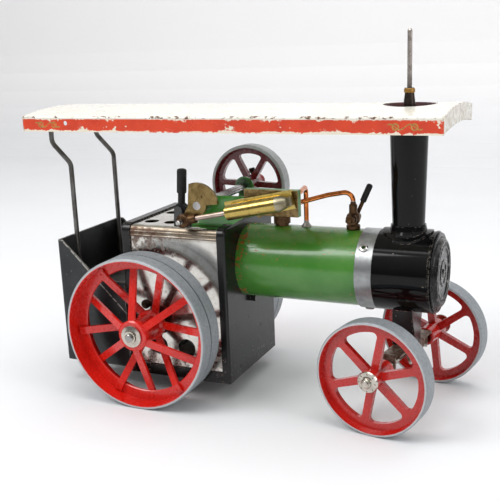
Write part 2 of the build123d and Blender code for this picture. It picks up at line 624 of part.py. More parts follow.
def steer_plane(z):
    """Horizontal plane of the steered axle at height z; local y runs along the axle."""
    return Plane(origin=(station(KING_X), 0, z), x_dir=STEER_FORWARD, z_dir=(0, 0, 1))


def axle_point(distance):
    """Point on the front axle line, positive towards +Y."""
    return (station(KING_X) + STEER_AXLE[0] * distance, STEER_AXLE[1] * distance, FRONT_R)


PERCH_BOTTOM = 31.5
with BuildPart() as perch_bracket:
    PERCH_REAR, PERCH_FRONT, PERCH_HALF = 115.4, 126.0, 6.4
    PERCH_TOP = 56.0
    WING_HALF, WING_START, WING_Z = 10.5, 38.0, 47.0
    with BuildSketch(side_plane(PERCH_HALF)):
        with BuildLine():
            Polyline((station(PERCH_REAR), PERCH_BOTTOM), (station(PERCH_FRONT), PERCH_BOTTOM),
                     (station(PERCH_FRONT), PERCH_TOP), (station(PERCH_REAR), PERCH_TOP), close=True)
        make_face()
    extrude(amount=2 * PERCH_HALF)
    with BuildSketch(side_plane(PERCH_HALF - SHEET)):
        with BuildLine():
            Polyline((station(PERCH_REAR - 1), PERCH_BOTTOM + 1),
                     (station(PERCH_FRONT - SHEET), PERCH_BOTTOM + 1),
                     (station(PERCH_FRONT - SHEET), PERCH_TOP + 1),
                     (station(PERCH_REAR - 1), PERCH_TOP + 1), close=True)
        make_face()
    extrude(amount=2 * (PERCH_HALF - SHEET), mode=Mode.SUBTRACT)
    # Wings of the front face, which spread out below the smokebox.
    with BuildSketch(cross_plane(PERCH_FRONT - SHEET)):
        with BuildLine():
            Polyline((-PERCH_HALF, WING_START), (-WING_HALF, WING_Z), (-WING_HALF, PERCH_TOP),
                     (WING_HALF, PERCH_TOP), (WING_HALF, WING_Z), (PERCH_HALF, WING_START), close=True)
        make_face()
    extrude(amount=SHEET)
    with BuildSketch(cross_plane(PERCH_REAR - 5)):
        with Locations((0, BOILER_Z)):
            Circle(SMOKEBOX_R + FIT)
    extrude(amount=20, mode=Mode.SUBTRACT)
    with BuildSketch(Plane.XY.offset(PERCH_BOTTOM - 1)):
        with Locations((station(KING_X), 0)):
            Circle(KING_R + FIT)
    extrude(amount=3, mode=Mode.SUBTRACT)
save(perch_bracket.part, "perch_bracket")

BEAM_TOP = PERCH_BOTTOM - 0.5
with BuildPart() as front_axle_beam:
    BEAM_HALF, BEAM_WIDE, BEAM_DEEP = 19.6, 4.4, 8.4
    BEAM_END = 1.0
    with BuildSketch(steer_plane(BEAM_TOP - BEAM_DEEP)):
        Rectangle(2 * BEAM_WIDE, 2 * BEAM_HALF)
    extrude(amount=BEAM_DEEP)
    with BuildSketch(steer_plane(BEAM_TOP - BEAM_DEEP - 1)):
        Rectangle(2 * (BEAM_WIDE - SHEET), 2 * (BEAM_HALF - BEAM_END))
    extrude(amount=BEAM_DEEP + 1 - SHEET, mode=Mode.SUBTRACT)
    # The front flange is cut back to a tapered tongue, which leaves a window near each hub.
    front_face = Plane(origin=(station(KING_X), 0, 0), x_dir=STEER_AXLE, z_dir=STEER_FORWARD)
    with BuildSketch(front_face.offset(2.2)):
        for side in (-1, 1):
            with BuildLine():
                Polyline((side * 6.0, BEAM_TOP - 9), (side * 11.0, BEAM_TOP - 1.0),
                         (side * 20.5, BEAM_TOP - 1.0), (side * 20.5, BEAM_TOP - 9), close=True)
            make_face()
    extrude(amount=3, mode=Mode.SUBTRACT)
    with BuildSketch(Plane(origin=axle_point(-30), x_dir=STEER_FORWARD, z_dir=STEER_AXLE)):
        Circle(FRONT_AXLE_R + TIGHT)
    extrude(amount=60, mode=Mode.SUBTRACT)
    with BuildSketch(steer_plane(BEAM_TOP + 1)):
        Circle(KING_R + TIGHT)
    extrude(amount=-3, mode=Mode.SUBTRACT)
save(front_axle_beam.part, "front_axle_beam")

save(turned_z(KING_X, 0, 0, [
    (0, BEAM_TOP - 2.2), (2.8, BEAM_TOP - 2.0), (3.0, BEAM_TOP - 1.4), (3.0, BEAM_TOP - SHEET - 0.22),
    (KING_R, BEAM_TOP - SHEET - 0.22), (KING_R, PERCH_BOTTOM + 1.4), (3.3, PERCH_BOTTOM + 1.4),
    (3.3, 37.6), (2.8, 38.2), (STEERING_R + FIT, 38.2), (STEERING_R + FIT, STEERING_SOCKET_Z),
    (0, STEERING_SOCKET_Z)]), "king_pin")

FRONT_AXLE_HALF = 47.0
ROD_BEVEL = 0.3
save(turned(axle_point(0), STEER_FORWARD, STEER_AXLE, [
    (0, -FRONT_AXLE_HALF), (FRONT_AXLE_R - ROD_BEVEL, -FRONT_AXLE_HALF),
    (FRONT_AXLE_R, -FRONT_AXLE_HALF + ROD_BEVEL), (FRONT_AXLE_R, FRONT_AXLE_HALF - ROD_BEVEL),
    (FRONT_AXLE_R - ROD_BEVEL, FRONT_AXLE_HALF), (0, FRONT_AXLE_HALF)]), "front_axle_rod")

FRONT_HUB_R = 4.5


def front_wheel(outer_distance, inward, phase):
    """Cast six-spoke wheel; depths run from the outer face towards the king pin."""
    axis = tuple(inward * value for value in STEER_AXLE)
    centre = axle_point(-inward * outer_distance)
    web_near, web_far = 3.2, 5.8
    rim_in, web_out, web_in = 25.3, 24.9, 21.4
    hub_near, hub_far, counterbore_r, counterbore = -1.6, 16.0, 3.1, 12.0
    bore = FRONT_AXLE_R + FIT
    with BuildPart() as piece:
        add(turned(centre, (0, 0, 1), axis, [
            (rim_in - 0.7, web_near), (rim_in, 0), (FRONT_R - 0.4, 0), (FRONT_R, 0.4),
            (FRONT_R, FRONT_WIDTH - 0.4), (FRONT_R - 0.4, FRONT_WIDTH), (rim_in, FRONT_WIDTH),
            (rim_in - 0.7, web_far)]))
        add(turned(centre, (0, 0, 1), axis, [
            (bore, hub_near), (FRONT_HUB_R - 0.4, hub_near), (FRONT_HUB_R, hub_near + 0.4),
            (FRONT_HUB_R, hub_far - 0.3), (FRONT_HUB_R - 0.3, hub_far), (counterbore_r, hub_far),
            (counterbore_r, counterbore), (bore, counterbore)]))
        web_plane = Plane(origin=centre, x_dir=STEER_FORWARD, z_dir=axis).offset(web_near)
        turn = phase if web_plane.y_dir.Z > 0 else -phase
        with BuildSketch(web_plane) as web:
            Circle(web_out)
            Circle(web_in, mode=Mode.SUBTRACT)
            Circle(FRONT_HUB_R)
            with PolarLocations(0, 6, start_angle=turn):
                Polygon((3.0, -1.9), (22.5, -1.7), (22.5, 1.7), (3.0, 1.9), align=None)
            fillet(web.vertices().filter_by(lambda v: abs(Vector(v.X, v.Y).length - web_in) < 0.5), 2.0)
        extrude(amount=web_far - web_near)
        with BuildSketch(web_plane.offset(-10)):
            Circle(bore)
        extrude(amount=20, mode=Mode.SUBTRACT)
    return piece.part


save(front_wheel(FRONT_NEAR_OUT, 1, 19.0), "front_wheel_near")
save(front_wheel(FRONT_FAR_OUT, -1, -23.0), "front_wheel_far")

FRONT_CAP = FRONT_NEAR_OUT + 1.65
DIMPLE_CIRCLE, DIMPLE_R = 3.9, 0.45
with BuildPart() as front_hub_caps:
    for side in (-1, 1):
        axis = tuple(side * value for value in STEER_AXLE)
        rod = FRONT_AXLE_R + TIGHT
        add(turned(axle_point(0), (0, 0, 1), axis, [
            (rod, FRONT_CAP), (4.9, FRONT_CAP), (5.0, FRONT_CAP + 0.3), (4.6, FRONT_CAP + 0.9),
            (3.0, FRONT_CAP + 1.1), (2.4, FRONT_CAP + 1.3), (2.3, FRONT_CAP + 2.4),
            (1.9, FRONT_CAP + 2.9), (rod, FRONT_CAP + 2.9)]))
        # Eight dimples round the star washer.
        face = Plane(origin=axle_point(side * (FRONT_CAP + 1.2)), x_dir=STEER_FORWARD, z_dir=axis)
        with BuildSketch(face):
            with PolarLocations(DIMPLE_CIRCLE, 8):
                Circle(DIMPLE_R)
        extrude(amount=-0.55, mode=Mode.SUBTRACT)
save(front_hub_caps.part, "front_hub_caps")

save(turned_z(KING_X, 0, 0, [
    (0, STEERING_SOCKET_Z + 0.1), (STEERING_R, STEERING_SOCKET_Z + 0.1),
    (STEERING_R, STEERING_SHOULDER_Z), (STEERING_TOP_R, STEERING_SHOULDER_Z),
    (STEERING_TOP_R, STEERING_ROD_TOP - 0.8), (STEERING_TOP_R - 0.5, STEERING_ROD_TOP),
    (0, STEERING_ROD_TOP)]), "steering_rod")
FERRULE_BORE = STEERING_R + 0.03
save(turned_z(KING_X, 0, 0, [
    (FERRULE_BORE, 138.0), (2.3, 138.0), (2.7, 140.0), (2.65, 143.5), (2.1, 148.3), (2.4, 148.5),
    (2.5, 149.2), (2.4, 150.1), (2.1, STEERING_SHOULDER_Z), (FERRULE_BORE, STEERING_SHOULDER_Z)]),
    "steering_ferrule")

# ---------------------------------------------------------------- engine frame and crankshaft
FRAME_Y = 21.0
FRAME_FAR_Y = 26.6
FRAME_SHEET = 1.0
FRAME_BASE = FIREBOX_TOP + 0.1
BASE_REAR, BASE_FRONT = 20.5, 36.2
NEAR_BEARING_R, FAR_BEARING_R = 3.9, 5.2
VALVE_X, VALVE_Z = 54.0, 97.0
LEVER_X, LEVER_Z, LEVER_Y = 12.0, 94.0, -17.0
LEVER_PIN_R, VALVE_PIN_R = 1.2, 1.2
NEAR_BOSS_R = 4.9

with BuildPart() as engine_frame:
    EAR_HALF = 2.6
    TRUNNION_HOLE_R = 3.4
    FAR_SPIGOT_R = 3.15
    BRACKET_REAR = LEVER_X - EAR_HALF
    TONGUE_Y = -FRAME_Y + 7.5
    with BuildSketch(Plane.XY.offset(FRAME_BASE)):
        with BuildLine():
            Polyline((station(BRACKET_REAR), -FRAME_Y), (station(BASE_FRONT), -FRAME_Y),
                     (station(BASE_FRONT), FRAME_FAR_Y), (station(BASE_REAR), FRAME_FAR_Y),
                     (station(BASE_REAR), TONGUE_Y), (station(BRACKET_REAR), TONGUE_Y), close=True)
        make_face()
    extrude(amount=FRAME_SHEET)
    # Ear at the rear that carries the reversing lever.
    EAR_R = 2.1
    with BuildSketch(side_plane(-FRAME_Y + FRAME_SHEET)):
        with BuildLine():
            Polyline((station(BRACKET_REAR), FRAME_BASE), (station(LEVER_X + EAR_HALF), FRAME_BASE),
                     (station(LEVER_X + EAR_R), LEVER_Z), (station(LEVER_X - EAR_R), LEVER_Z), close=True)
        make_face()
        with Locations((station(LEVER_X), LEVER_Z)):
            Circle(EAR_R)
    extrude(amount=FRAME_SHEET)
    add(turned_y(LEVER_X, 0, LEVER_Z, tube(0, LEVER_PIN_R, -FRAME_Y, -14.9)))
    near_plate = [(23.0, FRAME_BASE), (24.4, 98), (34, 102.3), (70.5, 102.3), (70.5, 96), (50, 93.5),
                  (41.5, FRAME_BASE + 1.2), (BASE_FRONT, FRAME_BASE + 1.2), (BASE_FRONT, FRAME_BASE)]
    far_plate = [(BASE_REAR + 1, FRAME_BASE), (24.2, 96), (29.6, 96), (34, FRAME_BASE)]
    for outline, top_y, boss_r in (
        (near_plate, -FRAME_Y + FRAME_SHEET, NEAR_BOSS_R),
        (far_plate, FRAME_FAR_Y, FAR_BEARING_R),
    ):
        with BuildSketch(side_plane(top_y)):
            with BuildLine():
                Polyline(*[(station(x), z) for x, z in outline], close=True)
            make_face()
            with Locations((station(CRANK_X), CRANK_Z)):
                Circle(boss_r)
        extrude(amount=FRAME_SHEET)
    with BuildSketch(side_plane(0)):
        with Locations((station(CRANK_X), CRANK_Z)):
            Circle(NEAR_BEARING_R + TIGHT)
        with Locations((station(TRUNNION_X), TRUNNION_Z)):
            Circle(TRUNNION_HOLE_R)
        with Locations((station(VALVE_X), VALVE_Z)):
            Circle(VALVE_PIN_R + 0.4)
    extrude(amount=30, mode=Mode.SUBTRACT)
    with BuildSketch(side_plane(30)):
        with Locations((station(CRANK_X), CRANK_Z)):
            Circle(FAR_SPIGOT_R + FIT)
    extrude(amount=20, mode=Mode.SUBTRACT)
    with BuildSketch(Plane.XY.offset(FRAME_BASE - 1)):
        with Locations(*[(station(x), y) for x, y in FRAME_SCREWS]):
            Circle(SCREW_HOLE_R)
    extrude(amount=3, mode=Mode.SUBTRACT)
save(engine_frame.part, "engine_frame")

with BuildPart() as crank_bearings:
    bore = CRANKSHAFT_R + FIT
    add(turned_y(CRANK_X, 0, CRANK_Z, [
        (bore, -26.7), (NEAR_BEARING_R - 0.4, -26.7), (NEAR_BEARING_R, -26.3), (NEAR_BEARING_R, -18.6),
        (bore, -18.6)]))
    add(turned_y(CRANK_X, 0, CRANK_Z, [
        (bore, 24.4), (3.9, 24.4), (4.2, 24.7), (4.2, FRAME_FAR_Y - FRAME_SHEET - TIGHT),
        (FAR_SPIGOT_R, FRAME_FAR_Y - FRAME_SHEET - TIGHT), (FAR_SPIGOT_R, 27.6), (2.8, 27.9),
        (bore, 27.9)]))
save(crank_bearings.part, "crank_bearings")

WEB_NEAR_Y, WEB_FAR_Y = -29.1, -27.2
SHAFT_END_Y = 46.4
save(turned_y(CRANK_X, 0, CRANK_Z, tube(0, CRANKSHAFT_R, WEB_NEAR_Y, SHAFT_END_Y)), "crankshaft")



def crank_plane(y):
    """Plane at this Y with its origin on the crankshaft; extruding goes towards -Y."""
    return Plane(origin=(station(CRANK_X), y, CRANK_Z), x_dir=(1, 0, 0), z_dir=(0, -1, 0))


with BuildPart() as crank_web:
    SECTOR_R, SECTOR_SPREAD = 11.0, 52.0
    WEB_HUB_R = 4.8
    PIN_BOSS_R = 2.2
    pin_angle = math.radians(CRANK_ANGLE)
    pin_centre = (CRANK_THROW * math.cos(pin_angle), CRANK_THROW * math.sin(pin_angle))
    weight_angle = CRANK_ANGLE - 180 + 10
    with BuildSketch(crank_plane(WEB_FAR_Y)):
        # Quadrant balance weight.
        with BuildLine():
            PolarLine((0, 0), SECTOR_R, weight_angle - SECTOR_SPREAD)
            arc = CenterArc((0, 0), SECTOR_R, weight_angle - SECTOR_SPREAD, 2 * SECTOR_SPREAD)
            Line(arc @ 1, (0, 0))
        make_face()
        Circle(WEB_HUB_R)
        # Straight rear edge, from the tip of the weight down to the hub.
        tip = math.radians(weight_angle + SECTOR_SPREAD)
        Polygon((SECTOR_R * math.cos(tip), SECTOR_R * math.sin(tip)), (-WEB_HUB_R, -0.4), (0, 0), align=None)
        # Tapered tail to the crank pin.
        with BuildLine():
            across = (-math.sin(pin_angle), math.cos(pin_angle))
            wide, slim = 3.9, PIN_BOSS_R
            Polyline(
                (across[0] * wide, across[1] * wide),
                (pin_centre[0] + across[0] * slim, pin_centre[1] + across[1] * slim),
                (pin_centre[0] - across[0] * slim, pin_centre[1] - across[1] * slim),
                (-across[0] * wide, -across[1] * wide),
                close=True,
            )
        make_face()
        with Locations(pin_centre):
            Circle(PIN_BOSS_R)
        Circle(CRANKSHAFT_R + TIGHT, mode=Mode.SUBTRACT)
    extrude(amount=WEB_FAR_Y - WEB_NEAR_Y)
    with BuildSketch(crank_plane(WEB_NEAR_Y)):
        with Locations((3.0, 4.6)):
            Circle(0.5)
    extrude(amount=-0.6, mode=Mode.SUBTRACT)
save(crank_web.part, "crank_web")

FLYWHEEL_HUB_R = 4.4
with BuildPart() as flywheel:
    DEPTH = FLYWHEEL_FAR_Y - FLYWHEEL_NEAR_Y
    WEB_IN, WEB_OUT = 3.0, 6.0
    RING_IN, RING_OUT = 16.4, 19.0
    add(turned_y(CRANK_X, FLYWHEEL_NEAR_Y, CRANK_Z, [
        (18.6, WEB_IN), (19.4, 0.3), (19.8, 0), (FLYWHEEL_R - 0.5, 0), (FLYWHEEL_R, 0.5),
        (FLYWHEEL_R, DEPTH - 0.5), (FLYWHEEL_R - 0.5, DEPTH), (19.6, DEPTH), (18.6, WEB_OUT)]))
    with BuildSketch(side_plane(FLYWHEEL_NEAR_Y + WEB_OUT)) as web:
        with Locations((station(CRANK_X), CRANK_Z)):
            Circle(RING_OUT)
            Circle(RING_IN, mode=Mode.SUBTRACT)
            Circle(FLYWHEEL_HUB_R)
            with PolarLocations(0, 6, start_angle=-2):
                Polygon((3.0, -1.6), (17.3, -1.4), (17.3, 1.4), (3.0, 1.6), align=None)
        fillet(web.vertices().filter_by(
            lambda v: abs(Vector(v.X - station(CRANK_X), v.Y - CRANK_Z).length - RING_IN) < 0.5), 1.4)
    extrude(amount=WEB_OUT - WEB_IN)
    add(turned_y(CRANK_X, FLYWHEEL_NEAR_Y, CRANK_Z, [
        (0, -1.6), (FLYWHEEL_HUB_R - 0.4, -1.6), (FLYWHEEL_HUB_R, -1.2), (FLYWHEEL_HUB_R, WEB_OUT + 0.8),
        (0, WEB_OUT + 0.8)]))
    with BuildSketch(side_plane(FLYWHEEL_FAR_Y + 5)):
        with Locations((station(CRANK_X), CRANK_Z)):
            Circle(CRANKSHAFT_R + TIGHT)
    extrude(amount=20, mode=Mode.SUBTRACT)
save(flywheel.part, "flywheel")

PULLEY_START = FLYWHEEL_NEAR_Y + WEB_OUT + 0.9
SCREW_Y = PULLEY_START + 2.6
SCREW_LINE = (-0.2, 0, 0.98)
with BuildPart() as drive_pulley:
    add(turned_y(CRANK_X, PULLEY_START, CRANK_Z, [
        (CRANKSHAFT_R + TIGHT, 0), (3.6, 0), (3.6, 5.0), (2.7, 6.0), (2.7, 6.6), (3.6, 7.6), (3.6, 8.6),
        (CRANKSHAFT_R + TIGHT, 8.6)]))
    with BuildSketch(Plane(origin=(station(CRANK_X), SCREW_Y, CRANK_Z), x_dir=(0, 1, 0), z_dir=SCREW_LINE)):
        Circle(1.12)
    extrude(amount=6, mode=Mode.SUBTRACT)
save(drive_pulley.part, "drive_pulley")
save(turned((station(CRANK_X), SCREW_Y, CRANK_Z), (0, 1, 0), SCREW_LINE, [
    (0, 2.2), (1.1, 2.2), (1.1, 5.4), (1.6, 5.4), (1.7, 5.7), (1.7, 7.4), (1.5, 7.8), (0.5, 7.8),
    (0.5, 6.8), (0, 6.8)]), "pulley_set_screw")

# ---------------------------------------------------------------- port block and oscillating cylinder
BLOCK_BACK, BLOCK_FACE = -21.05, -25.0
BLOCK_Z, BLOCK_LENGTH, BLOCK_HEIGHT = 100.6, 26.8, 12.3
TRUNNION_R = 1.2
PORT_R = 0.6
STEAM_END = (73.6, 99.4)
EXHAUST_END = (73.6, 104.3)
PIPE_R, PIPE_BORE_R = 1.15, 0.7
with BuildPart() as port_block:
    with BuildSketch(side_plane(BLOCK_BACK)):
        with Locations((station(TRUNNION_X), BLOCK_Z)):
            Rectangle(BLOCK_LENGTH, BLOCK_HEIGHT)
    extrude(amount=BLOCK_BACK - BLOCK_FACE)
    chamfer(port_block.faces().filter_by(Axis.Y).sort_by(Axis.Y)[0].edges(), 0.25)
    with BuildSketch(side_plane(0)):
        with Locations((station(TRUNNION_X), TRUNNION_Z)):
            Circle(TRUNNION_R + FIT)
        with Locations((station(VALVE_X), VALVE_Z)):
            Circle(VALVE_PIN_R + FIT)
        # Steam and exhaust ports, swept over by the port in the cylinder.
        with Locations(
            (station(TRUNNION_X + 7.6), TRUNNION_Z - 0.6),
            (station(TRUNNION_X + 7.2), TRUNNION_Z + 3.0),
        ):
            Circle(PORT_R)
    extrude(amount=30, mode=Mode.SUBTRACT)
save(port_block.part, "port_block")

tilt = math.atan2(TRUNNION_Z - CRANK_Z - CRANK_THROW * math.sin(pin_angle),
                  TRUNNION_X - CRANK_X - CRANK_THROW * math.cos(pin_angle))
BORE_DIR = (math.cos(tilt), 0, math.sin(tilt))
BORE_UP = (-math.sin(tilt), 0, math.cos(tilt))
PIN_DISTANCE = math.hypot(TRUNNION_Z - CRANK_Z - pin_centre[1], TRUNNION_X - CRANK_X - pin_centre[0])


def bore_line(y):
    """Origin on the cylinder's swing centre at this Y."""
    return (station(TRUNNION_X), y, TRUNNION_Z)


def cylinder_side(y):
    """Plane at this Y, turned with the cylinder: local x runs towards the closed end."""
    return Plane(origin=bore_line(y), x_dir=BORE_DIR, z_dir=(0, -1, 0))


FACE_NEAR, FACE_FAR = -27.3, -25.1
STRIP_HEIGHT = 8.8
ROD_R = 1.2
with BuildPart() as cylinder_barrel:
    add(turned(bore_line(CYLINDER_Y), BORE_UP, BORE_DIR, tube(0, BARREL_R, BARREL_OPEN, BARREL_CLOSED)))
    with BuildSketch(cylinder_side(FACE_FAR)):
        with Locations(((STRIP_OPEN + STRIP_CLOSED) / 2, 0.5)):
            Rectangle(STRIP_CLOSED - STRIP_OPEN, STRIP_HEIGHT)
    extrude(amount=FACE_FAR - FACE_NEAR)
    add(turned(bore_line(CYLINDER_Y), BORE_UP, BORE_DIR, tube(0, BORE_R, BARREL_OPEN + 1.0, BARREL_CLOSED)),
        mode=Mode.SUBTRACT)
    add(turned(bore_line(CYLINDER_Y), BORE_UP, BORE_DIR,
               tube(0, ROD_R + FIT, BARREL_OPEN - 1, BARREL_OPEN + 2)),
        mode=Mode.SUBTRACT)
    # Port from the rubbing face into the closed end of the bore.
    with BuildSketch(cylinder_side(FACE_FAR + 1)):
        with Locations((4.2, 0)):
            Circle(PORT_R)
    extrude(amount=4, mode=Mode.SUBTRACT)
save(cylinder_barrel.part, "cylinder_barrel")

with BuildPart() as cylinder_end_plug:
    RIB_END, RIB_HEIGHT = 12.0, 4.0
    plug_start = BARREL_CLOSED + TIGHT
    with BuildSketch(axial_plane(bore_line(CYLINDER_Y), BORE_UP, BORE_DIR)):
        with BuildLine():
            Polyline((0, plug_start), (BARREL_R, plug_start))
            ThreePointArc((BARREL_R, plug_start), (3.1, 8.6), (2.2, 10.6))
            Polyline((2.2, 10.6), (0, 10.8), (0, plug_start))
        make_face()
    revolve(axis=Axis(bore_line(CYLINDER_Y), BORE_DIR))
    with BuildSketch(cylinder_side(FACE_FAR)):
        with Locations((BARREL_CLOSED + 5, 0)):
            Rectangle(12, 12)
    extrude(amount=FACE_FAR - FACE_NEAR + TIGHT, mode=Mode.SUBTRACT)
    # Rib that ties the plug to the rubbing strip.
    with BuildSketch(cylinder_side(FACE_NEAR - TIGHT)):
        with Locations(((BARREL_CLOSED + RIB_END) / 2, 0)):
            Rectangle(RIB_END - BARREL_CLOSED - 0.2, RIB_HEIGHT)
    extrude(amount=2.2)
save(cylinder_end_plug.part, "cylinder_end_plug")

with BuildPart() as trunnion_pin:
    NUT_R = 2.9
    add(turned_y(TRUNNION_X, 0, TRUNNION_Z, tube(0, TRUNNION_R, FACE_FAR + 0.01, -12.2)))
    with BuildSketch(side_plane(-12.7)):
        with Locations((station(TRUNNION_X), TRUNNION_Z)):
            RegularPolygon(NUT_R, 6)
    extrude(amount=1.8)
save(trunnion_pin.part, "trunnion_pin")

with BuildPart() as trunnion_spring:
    SPRING_R, SPRING_WIRE, TURNS = 2.0, 0.32, 4
    SPRING_START, SPRING_END = -20.6, -14.95
    with BuildLine() as coil:
        Helix((SPRING_END - SPRING_START) / TURNS, SPRING_END - SPRING_START, SPRING_R,
              center=(station(TRUNNION_X), SPRING_START, TRUNNION_Z), direction=(0, 1, 0))
    with BuildSketch(Plane(origin=coil.line @ 0, z_dir=coil.line % 0)):
        Circle(SPRING_WIRE)
    sweep(is_frenet=True)
save(trunnion_spring.part, "trunnion_spring")

with BuildPart() as piston_rod:
    PISTON_OPEN = -PIN_DISTANCE + 27.2
    PISTON_LENGTH = 4.2
    EYE_R = 3.3
    profile = [
        (0, -PIN_DISTANCE + EYE_R + 0.05), (ROD_R, -PIN_DISTANCE + EYE_R + 0.05), (ROD_R, PISTON_OPEN),
        (BORE_R - FIT, PISTON_OPEN), (BORE_R - FIT, PISTON_OPEN + 1.4), (BORE_R - 0.4, PISTON_OPEN + 1.6),
        (BORE_R - 0.4, PISTON_OPEN + 2.6), (BORE_R - FIT, PISTON_OPEN + 2.8),
        (BORE_R - FIT, PISTON_OPEN + PISTON_LENGTH), (0, PISTON_OPEN + PISTON_LENGTH)]
    add(turned(bore_line(CYLINDER_Y), BORE_UP, BORE_DIR, profile))
save(piston_rod.part, "piston_rod")

BIG_END_NEAR, BIG_END_FAR = -33.2, -29.4
PIN_X = CRANK_X + pin_centre[0]
PIN_Z = CRANK_Z + pin_centre[1]
CRANK_PIN_R = 1.25
NECK_END = 6.6
with BuildPart() as big_end:
    add(turned_y(PIN_X, 0, PIN_Z, [
        (CRANK_PIN_R + TIGHT, BIG_END_NEAR), (EYE_R - 0.5, BIG_END_NEAR), (EYE_R, BIG_END_NEAR + 0.5),
        (EYE_R, BIG_END_FAR - 0.5), (EYE_R - 0.5, BIG_END_FAR), (CRANK_PIN_R + TIGHT, BIG_END_FAR)]))
    add(turned(bore_line(CYLINDER_Y), BORE_UP, BORE_DIR, [
        (ROD_R + TIGHT, -PIN_DISTANCE + EYE_R - 1.2), (2.3, -PIN_DISTANCE + EYE_R - 1.2),
        (2.1, -PIN_DISTANCE + NECK_END), (ROD_R + TIGHT, -PIN_DISTANCE + NECK_END)]))
    add(turned(bore_line(CYLINDER_Y), BORE_UP, BORE_DIR,
               tube(0, ROD_R + TIGHT, -PIN_DISTANCE + EYE_R, -PIN_DISTANCE + 9)), mode=Mode.SUBTRACT)
    # Flat side, which clears the crank web.
    with BuildSketch(cylinder_side(BIG_END_FAR + 5)):
        with Locations((-PIN_DISTANCE, 0)):
            Rectangle(30, 12)
    extrude(amount=5, mode=Mode.SUBTRACT)
save(big_end.part, "big_end")

CRANK_PIN_TIP = -37.4
save(turned_y(PIN_X, 0, PIN_Z, [
    (0, CRANK_PIN_TIP), (CRANK_PIN_R - 0.4, CRANK_PIN_TIP), (CRANK_PIN_R, CRANK_PIN_TIP + 0.5),
    (CRANK_PIN_R, -35.4), (CRANK_PIN_R - 0.3, -35.3), (CRANK_PIN_R - 0.3, -34.8), (CRANK_PIN_R, -34.7),
    (CRANK_PIN_R, BIG_END_FAR), (0, BIG_END_FAR)]), "crank_pin")

# ---------------------------------------------------------------- reversing gear
ARM = 3.6
ARM_EYE_R, ARM_PIN_R = 1.8, 0.9
LEAN = math.radians(4.0)
LEVER_UP = (math.sin(LEAN), 0, math.cos(LEAN))
ARM_DX, ARM_DZ = -ARM * math.sin(LEAN), -ARM * math.cos(LEAN)
LEVER_NEAR_Y, LEVER_FAR_Y = -18.9, -15.2
LINK_FAR, LINK_NEAR = -13.4, -14.6
LINK_EYE_R = 1.7
lever_origin = (station(LEVER_X), LEVER_Y, LEVER_Z)

with BuildPart() as reversing_lever:
    LEVER_R, BOSS_R, CHEEK = 1.8, 3.1, 2.6
    arm_end = (station(LEVER_X + ARM_DX), LEVER_Z + ARM_DZ)
    add(turned(lever_origin, (0, 1, 0), LEVER_UP, tube(0, LEVER_R, -3.6, 19.4)))
    add(turned_y(LEVER_X, 0, LEVER_Z, tube(0, BOSS_R, LEVER_NEAR_Y, LEVER_FAR_Y)))
    with BuildSketch(side_plane(LEVER_FAR_Y)):
        with BuildLine():
            Polyline((station(LEVER_X - CHEEK), LEVER_Z), (station(LEVER_X + CHEEK), LEVER_Z),
                     (arm_end[0] + ARM_EYE_R, arm_end[1]), (arm_end[0] - ARM_EYE_R, arm_end[1]),
                     close=True)
        make_face()
        with Locations(arm_end):
            Circle(ARM_EYE_R)
    extrude(amount=1.6)
    add(turned_y(LEVER_X + ARM_DX, 0, LEVER_Z + ARM_DZ, tube(0, ARM_PIN_R, -15.5, -13.2)))
    add(turned_y(LEVER_X, 0, LEVER_Z, tube(0, LEVER_PIN_R + FIT, -20, -14)), mode=Mode.SUBTRACT)
save(reversing_lever.part, "reversing_lever")

save(turned(lever_origin, (0, 1, 0), LEVER_UP, [
    (LEVER_R + TIGHT, 8.2), (2.3, 8.2), (2.4, 8.6), (2.4, 19.2), (2.1, 19.8), (1.2, 20.1), (0, 20.1),
    (0, 19.45), (LEVER_R + TIGHT, 19.45)]), "reversing_grip")

with BuildPart() as reversing_link:
    rise, run = VALVE_Z - LEVER_Z, VALVE_X - LEVER_X
    link_start = arm_end
    link_end = (station(VALVE_X + ARM_DX), VALVE_Z + ARM_DZ)
    with BuildSketch(side_plane(LINK_FAR)):
        with Locations(((link_start[0] + link_end[0]) / 2, (link_start[1] + link_end[1]) / 2)):
            Rectangle(math.hypot(run, rise), 2.0, rotation=math.degrees(math.atan2(rise, run)))
        with Locations(link_start, link_end):
            Circle(LINK_EYE_R)
        with Locations(link_start):
            Circle(ARM_PIN_R + FIT, mode=Mode.SUBTRACT)
        with Locations(link_end):
            Circle(1.2, mode=Mode.SUBTRACT)
    extrude(amount=LINK_FAR - LINK_NEAR)
save(reversing_link.part, "reversing_link")

with BuildPart() as reversing_valve:
    add(turned_y(VALVE_X, 0, VALVE_Z, tube(0, VALVE_PIN_R, -24.4, -19.0)))
    add(turned_y(VALVE_X, 0, VALVE_Z, tube(0, 3.6, -19.6, -16.6)))
    with BuildSketch(side_plane(-15.6)):
        with BuildLine():
            Polyline((station(VALVE_X - CHEEK), VALVE_Z), (station(VALVE_X + CHEEK), VALVE_Z),
                     (link_end[0] + LINK_EYE_R, link_end[1]), (link_end[0] - LINK_EYE_R, link_end[1]),
                     close=True)
        make_face()
        with Locations(link_end):
            Circle(LINK_EYE_R)
        with Locations((station(VALVE_X), VALVE_Z)):
            Circle(CHEEK)
    extrude(amount=1.2)
    add(turned_y(VALVE_X + ARM_DX, 0, VALVE_Z + ARM_DZ, tube(0, ARM_PIN_R - FIT, -16.4, -13.2)))
save(reversing_valve.part, "reversing_valve")

